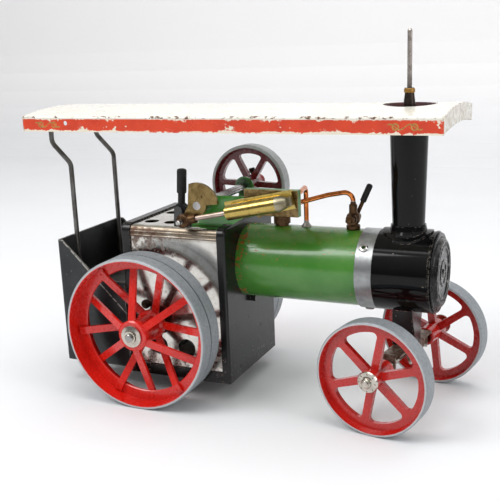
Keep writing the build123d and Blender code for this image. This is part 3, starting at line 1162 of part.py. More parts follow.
# ---------------------------------------------------------------- boiler fittings
SAFETY_X = 58.5
FITTING_SEAT = BOILER_Z + BOILER_R + 0.05
with BuildPart() as safety_valve_body:
    KNURL_R = 4.1
    add(turned_z(SAFETY_X, 0, FITTING_SEAT, [
        (1.9, 0), (3.3, 0), (3.3, 0.9), (KNURL_R, 1.1), (KNURL_R, 4.6), (3.7, 5.0), (2.6, 5.0),
        (2.6, 6.0), (1.9, 6.0)]))
    # Knurl: straight grooves round the body.
    with BuildSketch(Plane.XY.offset(FITTING_SEAT + 1.2)):
        with Locations((station(SAFETY_X), 0)):
            with PolarLocations(KNURL_R + 0.1, 24):
                Circle(0.26)
    extrude(amount=3.2, mode=Mode.SUBTRACT)
save(safety_valve_body.part, "safety_valve_body")
save(turned_z(SAFETY_X, 0, FITTING_SEAT, [
    (0, 0.4), (1.6, 0.4), (1.6, 1.2), (0.7, 1.2), (0.7, 6.4), (2.3, 6.4), (2.3, 7.4), (1.6, 8.0), (0, 8.2)]),
    "safety_valve_plunger")

REG_X = 94.8
BALL_Z = 89.9
PLUG_BORE_R = 1.5
with BuildPart() as regulator_body:
    add(turned_z(REG_X, 0, 0, [
        (0, FITTING_SEAT), (3.2, FITTING_SEAT), (3.3, FITTING_SEAT + 0.3), (3.3, 86.6), (3.0, 86.9),
        (2.4, 86.9), (2.3, 87.4), (3.1, 88.3), (3.35, 89.4), (3.3, 90.6), (2.9, 91.8), (1.95, 92.7),
        (1.95, 96.4), (1.35, 97.0), (1.2, 98.0), (0, 98.0)]))
    add(turned_y(REG_X, 0, BALL_Z, tube(0, 2.7, -3.5, 3.6)))
    add(turned_z(REG_X, 0, 0, tube(0, PIPE_R + 0.03, 95.4, 99)), mode=Mode.SUBTRACT)
    add(turned_y(REG_X, 0, BALL_Z, tube(0, PLUG_BORE_R, -5, 5)), mode=Mode.SUBTRACT)
save(regulator_body.part, "regulator_body")

REG_ANGLE = math.radians(66.0)
REG_UP = (math.cos(REG_ANGLE), 0, math.sin(REG_ANGLE))
REG_HANDLE_Y, REG_HANDLE_R = 4.8, 0.95
with BuildPart() as regulator_plug:
    add(turned_y(REG_X, 0, BALL_Z, tube(0, PLUG_BORE_R - FIT, -3.9, 4.2)))
    # Nut on the cylinder side, with a domed screw end.
    with BuildSketch(side_plane(-3.85)):
        with Locations((station(REG_X), BALL_Z)):
            RegularPolygon(2.4, 6, rotation=20)
    extrude(amount=1.6)
    add(turned_y(REG_X, 0, BALL_Z, [(0, -6.4), (0.9, -6.2), (1.3, -5.4), (1.3, -5.0), (0, -5.0)]))
    add(turned_y(REG_X, 0, BALL_Z, tube(0, 2.2, 3.95, 5.6)))
    handle_foot = (station(REG_X), REG_HANDLE_Y, BALL_Z)
    add(turned(handle_foot, (0, 1, 0), REG_UP, tube(0, REG_HANDLE_R, 0, 16.6)))
save(regulator_plug.part, "regulator_plug")
save(turned(handle_foot, (0, 1, 0), REG_UP, [
    (REG_HANDLE_R + TIGHT, 8.2), (1.4, 8.2), (1.5, 8.6), (1.5, 16.4), (1.2, 17.0), (0.6, 17.3), (0, 17.3),
    (0, 16.65), (REG_HANDLE_R + TIGHT, 16.65)]), "regulator_grip")

BLOCK_SOLDER = BLOCK_BACK + TIGHT
EXHAUST_X = 71.2
save(pipe([
    (station(REG_X), 0, 95.6), (station(REG_X), 0, 103.0), (station(84.0), -5.0, 101.6),
    (station(STEAM_END[0]), -13.5, STEAM_END[1]), (station(STEAM_END[0]), BLOCK_SOLDER, STEAM_END[1])],
    [4.2, 8.0, 3.0], PIPE_R, PIPE_BORE_R), "steam_pipe")
with BuildPart() as exhaust_pipe:
    add(pipe([
        (station(EXHAUST_X), 0, FITTING_SEAT), (station(EXHAUST_X), 0, EXHAUST_END[1]),
        (station(EXHAUST_END[0]), -14.0, EXHAUST_END[1]),
        (station(EXHAUST_END[0]), BLOCK_SOLDER, EXHAUST_END[1])],
        [3.6, 3.6], PIPE_R, PIPE_BORE_R))
    add(turned_z(EXHAUST_X, 0, FITTING_SEAT, [
        (PIPE_R - 0.1, 0), (2.5, 0), (2.3, 0.4), (1.5, 1.5), (PIPE_R - 0.1, 2.2)]))
save(exhaust_pipe.part, "exhaust_pipe")

# ---------------------------------------------------------------- screws
with BuildPart() as assembly_screws:
    seat = FIREBOX_HALF + TIGHT
    for x, y in FRAME_SCREWS:
        add(turned_z(x, y, FRAME_BASE + FRAME_SHEET + TIGHT, [
            (0, -4.0), (SCREW_R, -4.0), (SCREW_R, 0), (SCREW_HEAD_R, 0), (SCREW_HEAD_R, 0.9),
            (1.8, 1.4), (0, 1.5)]))
    add(both_sides_y(SIDE_SCREW_X, SIDE_SCREW_Z, [
        (0, FIREBOX_HALF - 3.0), (SCREW_R, FIREBOX_HALF - 3.0), (SCREW_R, seat), (SCREW_HEAD_R, seat),
        (SCREW_HEAD_R, FIREBOX_HALF + 0.7), (1.6, FIREBOX_HALF + 1.3), (0, FIREBOX_HALF + 1.4)]))
save(assembly_screws.part, "assembly_screws")
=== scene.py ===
import math

import bpy
from mathutils import Matrix, Vector


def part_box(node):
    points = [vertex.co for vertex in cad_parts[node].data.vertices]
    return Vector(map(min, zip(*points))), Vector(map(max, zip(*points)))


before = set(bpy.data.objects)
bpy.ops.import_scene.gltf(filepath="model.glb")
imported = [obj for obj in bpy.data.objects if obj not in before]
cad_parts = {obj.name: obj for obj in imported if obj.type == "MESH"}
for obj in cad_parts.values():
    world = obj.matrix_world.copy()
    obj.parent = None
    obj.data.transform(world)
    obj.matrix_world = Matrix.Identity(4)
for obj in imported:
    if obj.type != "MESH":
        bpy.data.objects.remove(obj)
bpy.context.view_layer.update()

# ---------------------------------------------------------------- stations, in millimetres
MM = 1000.0


def centre(node):
    """Middle of a node's box; low and high give its corners."""
    first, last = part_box(node)
    return (first + last) / 2 * MM


def low(node):
    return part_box(node)[0] * MM


def high(node):
    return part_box(node)[1] * MM


AXLE = centre("rear_axle")
BOILER = centre("boiler_shell")
CHIMNEY = centre("chimney")
CRANK = centre("crankshaft")
STEER = centre("front_axle_rod")
FRONT_PLATE_X = high("firebox_front_plate").x
SHELL_LOW, SHELL_HIGH = low("firebox_shell"), high("firebox_shell")
ROOF_LOW, ROOF_HIGH = low("canopy_roof"), high("canopy_roof")
ROOF_HALF = (ROOF_HIGH.x - ROOF_LOW.x) / 2
ROOF_MIDDLE = (ROOF_LOW.x + ROOF_HIGH.x) / 2
TENDER_LOW, TENDER_HIGH = low("tender_body"), high("tender_body")
# Height plus station is constant along the tender's sloped edge.
TENDER_SLOPE = TENDER_HIGH.z + TENDER_LOW.x + 3.0
DOOR_X = high("smokebox_door").x
# The front axle is steered to this angle at rest.
STEER_ANGLE = math.radians(9.3)
STEER_DIR = Vector((math.sin(STEER_ANGLE), math.cos(STEER_ANGLE), 0))
# The chimney widens from its foot to its lip.
CHIMNEY_FOOT_R = 7.4
CHIMNEY_FOOT_Z = 86.0
CHIMNEY_FLARE = 1.45 / 53.0
CHIMNEY_LIP_Z = 139.5
# Inner radius of the bare rim and radius of the tread.
REAR_RIM = (36.5, 38.0)
FRONT_RIM = (25.25, 26.6)
FLYWHEEL_RIM = (19.3, 21.2)
# The rear tyres have a turned groove this far in from their outer edge.
TYRE_EDGE_Y = 50.7
GROOVE_INSET = 8.4
GROOVE_Y = TYRE_EDGE_Y - GROOVE_INSET
# The engine frame is black behind this station.
BLACK_TONGUE_X = low("port_block").x - 30.0


# ---------------------------------------------------------------- shader writing
def colour(red, green, blue):
    """Linear RGBA of a display colour given as 0-255."""
    def linear(value):
        value /= 255
        return value / 12.92 if value <= 0.04045 else ((value + 0.055) / 1.055) ** 2.4
    return (linear(red), linear(green), linear(blue), 1.0)


class Paint:
    """A procedural material; positions are in millimetres in the object's own frame."""

    def __init__(self, name, rough, metal=0.0, coat=0.0, specular=0.5):
        self.material = bpy.data.materials.new(name)
        self.material.use_nodes = True
        self.tree = self.material.node_tree
        self.bsdf = next(n for n in self.tree.nodes if n.type == "BSDF_PRINCIPLED")
        self.put("Roughness", rough)
        self.put("Metallic", metal)
        self.put("Coat Weight", coat)
        self.put("Coat Roughness", 0.08)
        self.put("Specular IOR Level", specular)
        coords = self.node("ShaderNodeTexCoord")
        scale = self.node("ShaderNodeVectorMath", operation="SCALE")
        self.tree.links.new(coords.outputs["Object"], scale.inputs[0])
        scale.inputs["Scale"].default_value = MM
        self.place = scale.outputs[0]
        parts = self.node("ShaderNodeSeparateXYZ")
        self.tree.links.new(self.place, parts.inputs[0])
        self.x, self.y, self.z = parts.outputs

    def node(self, kind, **settings):
        made = self.tree.nodes.new(kind)
        for key, value in settings.items():
            setattr(made, key, value)
        return made

    def wire(self, value, socket):
        if isinstance(value, bpy.types.NodeSocket):
            self.tree.links.new(value, socket)
        else:
            socket.default_value = value

    def put(self, socket, value):
        self.wire(value, self.bsdf.inputs[socket])

    def math(self, operation, a, b):
        made = self.node("ShaderNodeMath", operation=operation)
        self.wire(a, made.inputs[0])
        self.wire(b, made.inputs[1])
        return made.outputs[0]

    def chain(self, operation, values):
        total = values[0]
        for value in values[1:]:
            total = self.math(operation, total, value)
        return total

    def add(self, *values):
        return self.chain("ADD", values)

    def times(self, *values):
        return self.chain("MULTIPLY", values)

    def most(self, *values):
        return self.chain("MAXIMUM", values)

    def away(self, value, middle):
        """Distance of a number from middle."""
        return self.math("ABSOLUTE", self.math("SUBTRACT", value, middle), 0.0)

    def ramp(self, value, start, end):
        """0 at start, 1 at end, smooth between; start may be the larger."""
        made = self.node("ShaderNodeMapRange", interpolation_type="SMOOTHSTEP")
        self.wire(value, made.inputs["Value"])
        made.inputs["From Min"].default_value = min(start, end)
        made.inputs["From Max"].default_value = max(start, end)
        made.inputs["To Min"].default_value = 0.0 if start < end else 1.0
        made.inputs["To Max"].default_value = 1.0 if start < end else 0.0
        return made.outputs["Result"]

    def mix(self, amount, first, second):
        made = self.node("ShaderNodeMix", data_type="RGBA")
        self.wire(amount, made.inputs[0])
        self.wire(first, made.inputs[6])
        self.wire(second, made.inputs[7])
        return made.outputs[2]

    def span(self, amount, first, second):
        """Number running from first to second."""
        made = self.node("ShaderNodeMix", data_type="FLOAT")
        self.wire(amount, made.inputs[0])
        self.wire(first, made.inputs[2])
        self.wire(second, made.inputs[3])
        return made.outputs[0]

    def noise(self, size, detail=4.0, rough=0.55, stretch=(1, 1, 1), offset=0.0):
        """Noise whose blobs are about size millimetres."""
        mapping = self.node("ShaderNodeMapping")
        self.tree.links.new(self.place, mapping.inputs["Vector"])
        mapping.inputs["Scale"].default_value = [1 / (size * s) for s in stretch]
        mapping.inputs["Location"].default_value = (offset, offset * 1.7, offset * 2.3)
        made = self.node("ShaderNodeTexNoise")
        self.tree.links.new(mapping.outputs[0], made.inputs["Vector"])
        made.inputs["Scale"].default_value = 1.0
        made.inputs["Detail"].default_value = detail
        made.inputs["Roughness"].default_value = rough
        return made.outputs["Fac"]

    def radius(self, middle, direction=(0, 1, 0)):
        """Distance from an axis through middle."""
        offset = self.node("ShaderNodeVectorMath", operation="SUBTRACT")
        self.tree.links.new(self.place, offset.inputs[0])
        offset.inputs[1].default_value = middle
        across = self.node("ShaderNodeVectorMath", operation="CROSS_PRODUCT")
        self.tree.links.new(offset.outputs[0], across.inputs[0])
        across.inputs[1].default_value = direction
        length = self.node("ShaderNodeVectorMath", operation="LENGTH")
        self.tree.links.new(across.outputs[0], length.inputs[0])
        return length.outputs["Value"]

    def facing(self, axis):
        """Component of the object's own normal along x, y or z."""
        coords = self.node("ShaderNodeTexCoord")
        parts = self.node("ShaderNodeSeparateXYZ")
        self.tree.links.new(coords.outputs["Normal"], parts.inputs[0])
        return parts.outputs["xyz".index(axis)]

    def edge(self, width, start=0.02, end=0.12):
        """1 along sharp edges within width millimetres."""
        bevel = self.node("ShaderNodeBevel", samples=4)
        bevel.inputs["Radius"].default_value = width / MM
        geometry = self.node("ShaderNodeNewGeometry")
        dot = self.node("ShaderNodeVectorMath", operation="DOT_PRODUCT")
        self.tree.links.new(bevel.outputs[0], dot.inputs[0])
        self.tree.links.new(geometry.outputs["Normal"], dot.inputs[1])
        return self.ramp(self.math("SUBTRACT", 1.0, dot.outputs["Value"]), start, end)

    def bump(self, height, strength=0.2, distance=0.1):
        made = self.node("ShaderNodeBump")
        made.inputs["Strength"].default_value = strength
        made.inputs["Distance"].default_value = distance / MM
        self.wire(height, made.inputs["Height"])
        self.tree.links.new(made.outputs[0], self.bsdf.inputs["Normal"])

    def dust(self, base, tint, amount=0.25, size=9.0):
        """Soft cloudy variation between base and tint."""
        return self.mix(self.times(self.ramp(self.noise(size, 5), 0.35, 0.7), amount), base, tint)


RUST = colour(112, 62, 28)
DARK_RUST = colour(60, 34, 20)
BARE = colour(176, 172, 165)


def enamel(name, base, tint, chip, rough, chip_size=2.4, chip_level=0.66, coat=0.5, specular=0.5):
    """Gloss enamel with worn edges and small chips that show the metal."""
    paint = Paint(name, rough, coat=coat, specular=specular)
    skin = paint.dust(colour(*base), colour(*tint))
    speckle = paint.ramp(paint.noise(chip_size, 3, 0.6), chip_level, chip_level + 0.03)
    patch = paint.ramp(paint.noise(14, 2, 0.5, offset=5.0), 0.5, 0.6)
    worn = paint.times(paint.edge(0.35), paint.ramp(paint.noise(1.8, 4), 0.48, 0.6))
    bare = paint.most(paint.times(speckle, patch), worn)
    paint.put("Base Color", paint.mix(bare, skin, colour(*chip)))
    paint.put("Roughness", paint.span(bare, paint.span(paint.noise(5, 4), rough * 0.7, rough * 1.5), 0.45))
    paint.put("Metallic", paint.times(bare, 0.6))
    paint.bump(paint.add(paint.times(paint.noise(1.1, 3), 0.25), paint.times(bare, -1.0)), 0.12, 0.12)
    return paint


def bare_metal(name, base, tint, rough, grain, stain=None, stain_level=0.6, size=3.0):
    """Bare metal with directional grain, cloudy tarnish and darker stains."""
    paint = Paint(name, rough, metal=1.0)
    skin = paint.dust(colour(*base), colour(*tint), 0.7, size * 2)
    lines = paint.noise(0.35, 3, 0.6, stretch=grain)
    skin = paint.mix(paint.times(paint.ramp(lines, 0.4, 0.7), 0.35), skin, colour(*tint))
    if stain is not None:
        spots = paint.ramp(paint.noise(size, 6, 0.65, offset=3.0), stain_level, stain_level + 0.12)
        skin = paint.mix(paint.times(spots, 0.75), skin, colour(*stain))
    paint.put("Base Color", skin)
    paint.put("Roughness", paint.span(paint.noise(size, 5), rough * 0.6, rough * 1.7))
    paint.bump(lines, 0.06, 0.05)
    return paint


# ---------------------------------------------------------------- body sheet metal
FASCIA_TOP = ROOF_LOW.z + 6.4
CURL_Z = ROOF_LOW.z + 3.4


def roof_paint():
    """Cream top with a red fascia on both sides, chipped and dirty along its folds, with painted shade on its
    end flanges.
    """
    paint = Paint("canopy_enamel", 0.25, coat=0.4)
    cream = paint.dust(colour(227, 225, 214), colour(214, 208, 192), 0.5, 18)
    red = paint.dust(colour(214, 62, 18), colour(192, 46, 14), 0.6, 10)
    fascia = paint.times(
        paint.ramp(paint.away(paint.y, 0.0), ROOF_HIGH.y - 0.35, ROOF_HIGH.y - 0.2),
        paint.ramp(paint.z, FASCIA_TOP, FASCIA_TOP - 0.3),
    )
    # Plain curled ornaments near both ends of the fascia.
    curls = 0.0
    for end in (ROOF_LOW.x + 11.0, ROOF_LOW.x + 19.0, ROOF_HIGH.x - 12.0, ROOF_HIGH.x - 20.0):
        away = paint.radius((end, 0.0, CURL_Z))
        curls = paint.most(curls, paint.ramp(paint.away(away, 1.25), 0.42, 0.22))
    for end in (ROOF_LOW.x + 15.0, ROOF_HIGH.x - 16.0):
        wave = paint.math("SINE", paint.times(paint.math("SUBTRACT", paint.x, end), 0.75), 0.0)
        line = paint.ramp(paint.away(paint.z, paint.add(paint.times(wave, 1.1), CURL_Z)), 0.38, 0.2)
        curls = paint.most(curls, paint.times(line, paint.ramp(paint.away(paint.x, end), 7.5, 7.2)))
    gold = paint.mix(paint.ramp(paint.noise(1.2, 3), 0.4, 0.65), colour(190, 140, 60), colour(140, 116, 62))
    red = paint.mix(paint.times(curls, paint.ramp(paint.noise(0.9, 3, offset=9.0), 0.3, 0.45)), red, gold)
    skin = paint.mix(fascia, cream, red)
    # The red has flaked to the cream along the lower and upper folds.
    fold = paint.most(
        paint.ramp(paint.z, ROOF_LOW.z + 1.5, ROOF_LOW.z + 0.2),
        paint.times(paint.ramp(paint.z, ROOF_LOW.z + 5.0, ROOF_LOW.z + 6.6), 0.7),
    )
    ends = paint.ramp(paint.away(paint.x, ROOF_MIDDLE), 55.0, 100.0)
    ragged = paint.times(
        paint.ramp(paint.noise(24, 2, offset=8.0), 0.48, 0.6),
        paint.ramp(paint.z, ROOF_LOW.z + 4.5, ROOF_LOW.z),
    )
    flaked = paint.ramp(
        paint.add(
            paint.noise(2.6, 5, 0.65),
            paint.times(paint.noise(13, 2, offset=2.0), 0.35),
            paint.times(fold, paint.add(0.26, paint.times(ends, 0.08))),
            paint.times(ragged, 0.16),
        ),
        0.84, 0.86,
    )
    skin = paint.mix(paint.times(flaked, fascia), skin, colour(232, 222, 202))
    # Rust where the top is folded down to the fascia, and a few pits on the top.
    seam = paint.times(
        paint.ramp(paint.away(paint.z, ROOF_HIGH.z - 3.2), 1.3, 0.2),
        paint.ramp(paint.away(paint.y, 0.0), ROOF_HIGH.y - 2.5, ROOF_HIGH.y - 0.8),
    )
    rust = paint.ramp(
        paint.add(
            paint.noise(1.9, 6, 0.7, stretch=(1.6, 1, 1)),
            paint.times(paint.noise(16, 2, offset=6.0), 0.3),
            paint.times(seam, 0.22),
        ),
        0.90, 0.97,
    )
    skin = paint.mix(rust, skin, paint.mix(paint.noise(0.8, 2), DARK_RUST, RUST))
    # Both end flanges are painted a darker beige with brown along their edges: painted shade mixed with dirt
    # and rust.
    end = paint.ramp(paint.away(paint.x, ROOF_MIDDLE), ROOF_HALF - 0.9, ROOF_HALF - 0.4)
    end_shade_and_dirt = paint.times(end, paint.ramp(paint.noise(3.0, 5, 0.65, offset=11.0), 0.36, 0.6))
    skin = paint.mix(paint.times(end_shade_and_dirt, 0.7), skin, colour(166, 150, 120))
    brown = paint.times(end, paint.ramp(paint.noise(1.4, 5, 0.7, offset=3.0), 0.6, 0.68))
    skin = paint.mix(brown, skin, DARK_RUST)
    paint.put("Base Color", skin)
    paint.put("Roughness", paint.span(rust, paint.span(paint.noise(8, 4), 0.16, 0.36), 0.85))
    relief = paint.add(paint.times(paint.noise(3, 3), 0.3), paint.times(flaked, -0.5), paint.times(rust, 0.5))
    paint.bump(relief, 0.15, 0.15)
    return paint


def nickel_paint():
    """Polished nickel plate, tarnished brown along the top folds and rust-stained low down."""
    paint = Paint("nickel_sheet", 0.14, metal=1.0)
    skin = paint.dust(colour(214, 211, 205), colour(176, 171, 162), 0.6, 7)
    blotch = paint.ramp(paint.noise(3.2, 6, 0.7), 0.5, 0.66)
    skin = paint.mix(paint.times(blotch, 0.3), skin, colour(160, 152, 140))
    fold = paint.ramp(paint.z, SHELL_HIGH.z - 7.5, SHELL_HIGH.z - 4.0)
    streaks = paint.ramp(paint.noise(4.5, 5, 0.6, stretch=(3, 1, 1), offset=2.0), 0.12, 0.5)
    tarnish = paint.times(fold, streaks, paint.ramp(paint.facing("z"), 0.95, 0.7))
    skin = paint.mix(paint.times(tarnish, 0.85), skin, colour(128, 112, 92))
    upper = paint.ramp(paint.z, SHELL_HIGH.z - 26, SHELL_HIGH.z - 3)
    rearward = paint.ramp(paint.x, SHELL_HIGH.x - 12, SHELL_LOW.x + 6)
    corner = paint.add(paint.times(upper, paint.add(paint.times(rearward, 0.2), 0.05)),
                       paint.times(paint.ramp(paint.z, SHELL_LOW.z + 18, SHELL_LOW.z + 2), 0.16))
    side = paint.ramp(paint.away(paint.y, 0.0), SHELL_HIGH.y - 2.0, SHELL_HIGH.y - 0.8)
    stain = paint.ramp(paint.add(paint.noise(2.8, 7, 0.7, offset=4.0), paint.times(corner, side)), 0.63, 0.8)
    skin = paint.mix(paint.times(stain, 0.75), skin, paint.mix(paint.noise(1.2, 4), RUST, DARK_RUST))
    pits = paint.ramp(paint.noise(0.9, 3, 0.6, offset=8.0), 0.68, 0.72)
    skin = paint.mix(pits, skin, DARK_RUST)
    paint.put("Base Color", skin)
    paint.put("Metallic", paint.span(stain, 1.0, 0.3))
    dull = paint.most(stain, paint.times(tarnish, 0.6))
    paint.put("Roughness", paint.span(dull, paint.span(blotch, 0.15, 0.26), 0.55))
    paint.bump(paint.add(paint.times(paint.noise(14, 2), 0.5), paint.times(stain, 0.3)), 0.04, 0.1)
    return paint


def black_plate_paint():
    """Black enamel on folded plate, chipped most near the ground."""
    paint = Paint("plate_black", 0.2, specular=0.35)
    skin = paint.dust(colour(12, 12, 13), colour(34, 32, 31), 0.5, 10)
    lower = paint.ramp(paint.z, 40, 12)
    chips = paint.ramp(paint.add(paint.noise(1.5, 4, 0.65), paint.times(lower, 0.07)), 0.70, 0.73)
    worn = paint.times(paint.edge(0.5), paint.ramp(paint.noise(2.2, 4, offset=3.0), 0.5, 0.6))
    bare = paint.most(chips, worn)
    paint.put("Base Color", paint.mix(bare, skin, paint.mix(paint.noise(2, 3), BARE, RUST)))
    paint.put("Metallic", paint.times(bare, 0.7))
    paint.put("Roughness", paint.span(bare, paint.span(paint.noise(4, 5), 0.14, 0.34), 0.5))
    paint.bump(paint.add(paint.times(paint.noise(1.4, 4), 0.3), paint.times(bare, -0.6)), 0.14, 0.12)
    return paint


def tender_paint():
    """Dull black outside, dirtier inside, worn to the metal along the sloped edges."""
    paint = Paint("tender_black", 0.35, specular=0.4)
    outside = paint.dust(colour(30, 32, 34), colour(46, 48, 50), 0.7, 12)
    inside = paint.dust(colour(16, 16, 17), colour(40, 38, 36), 0.5, 6)
    inner = paint.ramp(paint.away(paint.y, 0.0), TENDER_HIGH.y - 0.45, TENDER_HIGH.y - 0.7)
    inner = paint.times(inner, paint.ramp(paint.x, TENDER_LOW.x + 0.3, TENDER_LOW.x + 0.6))
    skin = paint.mix(inner, outside, inside)
    specks = paint.ramp(paint.noise(1.1, 3, 0.6), 0.72, 0.75)
    worn = paint.times(paint.edge(0.55, 0.01, 0.08), paint.ramp(paint.noise(2.6, 4, offset=2.0), 0.36, 0.5))
    slope = paint.add(paint.z, paint.x)
    line = paint.times(
        paint.ramp(paint.away(slope, TENDER_SLOPE), 0.7, 0.2),
        paint.ramp(paint.away(paint.y, 0.0), TENDER_HIGH.y - 1.1, TENDER_HIGH.y - 0.6),
        paint.ramp(paint.noise(2.2, 3, offset=5.0), 0.4, 0.46),
    )
    bare = paint.most(specks, worn, line)
    metal = paint.mix(paint.ramp(paint.noise(3, 3, offset=7.0), 0.62, 0.7), colour(176, 173, 166), RUST)
    paint.put("Base Color", paint.mix(bare, skin, metal))
    paint.put("Metallic", paint.times(bare, 0.6))
    paint.put("Roughness", paint.span(paint.noise(5, 5), 0.25, 0.5))
    paint.bump(paint.add(paint.noise(1.6, 4), paint.times(bare, -1.0)), 0.1, 0.12)
    return paint


def boiler_paint():
    """Green enamel, yellowed by heat along the top and worn through in places."""
    paint = Paint("boiler_green", 0.24, coat=0.35)
    skin = paint.dust(colour(60, 124, 38), colour(84, 140, 58), 0.7, 14)
    top = paint.ramp(paint.z, BOILER.z + 9, BOILER.z + 18)
    yellowed = paint.times(top, 0.35, paint.ramp(paint.noise(6, 4), 0.4, 0.6))
    skin = paint.mix(yellowed, skin, colour(120, 132, 60))
    rear_edge = paint.ramp(paint.x, FRONT_PLATE_X + 1.6, FRONT_PLATE_X + 0.2)
    upper = paint.ramp(paint.z, BOILER.z - 6, BOILER.z + 12)
    wear = paint.add(paint.noise(1.7, 4, 0.7, stretch=(1.5, 1, 1), offset=1.0),
                     paint.times(paint.noise(9, 2, offset=3.0), 0.32),
                     paint.times(upper, 0.05), paint.times(rear_edge, 0.14))
    chips = paint.ramp(wear, 0.86, 0.885)
    brass = paint.mix(paint.noise(1.2, 3), colour(196, 112, 44), colour(120, 70, 34))
    paint.put("Base Color", paint.mix(chips, skin, brass))
    paint.put("Metallic", paint.times(chips, 0.5))
    paint.put("Roughness", paint.span(chips, paint.span(paint.noise(5, 5), 0.14, 0.32), 0.55))
    paint.bump(paint.add(paint.times(paint.noise(2.2, 3), 0.35), paint.times(chips, -0.6)), 0.14, 0.12)
    return paint


def chimney_paint():
    """Gloss black outside, dark red and sooty inside the flue."""
    paint = Paint("chimney_black", 0.08, specular=0.2)
    away = paint.radius(CHIMNEY, (0, 0, 1))
    rise = paint.math("SUBTRACT", paint.z, CHIMNEY_FOOT_Z)
    outer = paint.add(CHIMNEY_FOOT_R, paint.times(rise, CHIMNEY_FLARE))
    depth = paint.math("SUBTRACT", outer, away)
    lining = paint.most(
        paint.times(paint.ramp(depth, 0.3, 0.45), paint.ramp(paint.z, CHIMNEY_LIP_Z, CHIMNEY_LIP_Z - 1.0)),
        paint.times(paint.ramp(paint.facing("z"), 0.1, 0.3),
                    paint.ramp(paint.z, CHIMNEY_LIP_Z - 1.0, CHIMNEY_LIP_Z)),
    )
    skin = paint.dust(colour(8, 8, 9), colour(20, 20, 19), 0.4, 9)
    chips = paint.ramp(paint.noise(1.6, 4, 0.65), 0.72, 0.745)
    skin = paint.mix(chips, skin, colour(150, 140, 128))
    skin = paint.mix(lining, skin, paint.mix(paint.noise(2.5, 4), colour(74, 22, 26), colour(30, 14, 14)))
    paint.put("Base Color", skin)
    paint.put("Roughness", paint.span(lining, paint.span(paint.noise(6, 4), 0.06, 0.14), 0.6))
    paint.bump(paint.add(paint.times(paint.noise(2.4, 3), 0.4), paint.times(chips, -0.6)), 0.1, 0.12)
    return paint


def door_paint():
    """Black door whose raised rings have worn towards bare tin."""
    paint = Paint("door_black", 0.2, specular=0.35)
    away = paint.radius(BOILER, (1, 0, 0))
    raised = paint.times(paint.ramp(paint.x, DOOR_X - 2.0, DOOR_X - 1.0), paint.ramp(away, 16.0, 15.4))
    tin = paint.mix(paint.ramp(paint.noise(1.8, 5), 0.36, 0.54), colour(120, 118, 114), colour(22, 22, 24))
    skin = paint.mix(paint.times(raised, 0.75), paint.dust(colour(16, 16, 17), colour(38, 37, 36)), tin)
    paint.put("Base Color", skin)
    paint.put("Metallic", paint.times(raised, 0.6))
    paint.put("Roughness", paint.span(paint.noise(3, 5), 0.12, 0.4))
    paint.bump(paint.noise(1.2, 4), 0.1, 0.1)
    return paint


# ---------------------------------------------------------------- wheels
def wheel_paint(name, middle, direction, radii, red, dark, tyre, tyre_metal=0.35, groove_y=None,
                painted_shade_towards=0):
    """Painted inside the rim, bare worn metal outside it.

    A tyre may have a turned groove at groove_y from the engine's middle. The last argument is the sign of
    the direction along y whose faces get painted shade, a darker red, or 0.
    """
    inner, tread = radii
    paint = Paint(name, 0.25, coat=0.4)
    away = paint.radius(middle, direction)
    rim = paint.ramp(paint.add(away, paint.times(paint.noise(2.0, 4), 0.3)), inner + 0.3, inner + 0.45)
    face = paint.times(rim, paint.ramp(away, tread - 0.25, tread - 0.5))
    skin = paint.dust(colour(*red), colour(*dark), 0.3, 9)
    # Faces turned towards that side of y are painted a darker red: painted shade on the wheel's inner side.
    if painted_shade_towards:
        shaded_faces = paint.ramp(paint.times(paint.facing("y"), painted_shade_towards), 0.3, 0.9)
        skin = paint.mix(paint.times(shaded_faces, 0.8), skin, colour(74, 26, 22))
    chips = paint.times(paint.edge(0.25), paint.ramp(paint.noise(1.3, 4, 0.6), 0.66, 0.7))
    skin = paint.mix(paint.times(chips, 0.6), skin, colour(150, 110, 100))
    darker = colour(*(value - 22 for value in tyre))
    metal = paint.mix(paint.ramp(paint.noise(1.4, 6, 0.7), 0.35, 0.7), colour(*tyre), darker)
    metal = paint.mix(paint.times(face, 0.6), metal, colour(205, 206, 206))
    if groove_y is not None:
        groove = paint.times(
            paint.ramp(paint.away(away, tread - 0.65), 0.35, 0.2),
            paint.ramp(paint.away(paint.away(paint.y, 0.0), groove_y), 0.9, 0.7),
        )
        metal = paint.mix(paint.times(groove, 0.85), metal, colour(34, 36, 38))
    spots = paint.ramp(paint.noise(1.0, 4, 0.6, offset=5.0), 0.68, 0.74)
    metal = paint.mix(paint.times(spots, 0.35), metal, colour(96, 90, 84))
    paint.put("Base Color", paint.mix(rim, skin, metal))
    paint.put("Metallic", paint.times(rim, tyre_metal))
    paint.put("Coat Weight", paint.span(rim, 0.4, 0.0))
    paint.put("Roughness", paint.span(rim, paint.span(paint.noise(3, 4), 0.18, 0.36),
                                      paint.span(paint.noise(1.5, 5), 0.42, 0.62)))
    grain = paint.times(paint.noise(0.7, 5, 0.7), paint.span(rim, 0.3, 1.0))
    paint.bump(paint.add(grain, paint.times(chips, -0.5)), 0.16, 0.1)
    return paint


# ---------------------------------------------------------------- fittings
def flat_paint(name, base, tint, rough, bump, size):
    """Matt plastic, rubber or salt-like surface with fine grain."""
    paint = Paint(name, rough, specular=0.35)
    paint.put("Base Color", paint.dust(colour(*base), colour(*tint), 0.8, size * 4))
    paint.put("Roughness", paint.span(paint.noise(size * 2, 4), rough * 0.8, min(1.0, rough * 1.2)))
    paint.bump(paint.noise(size, 5, 0.7), bump, 0.08)
    return paint


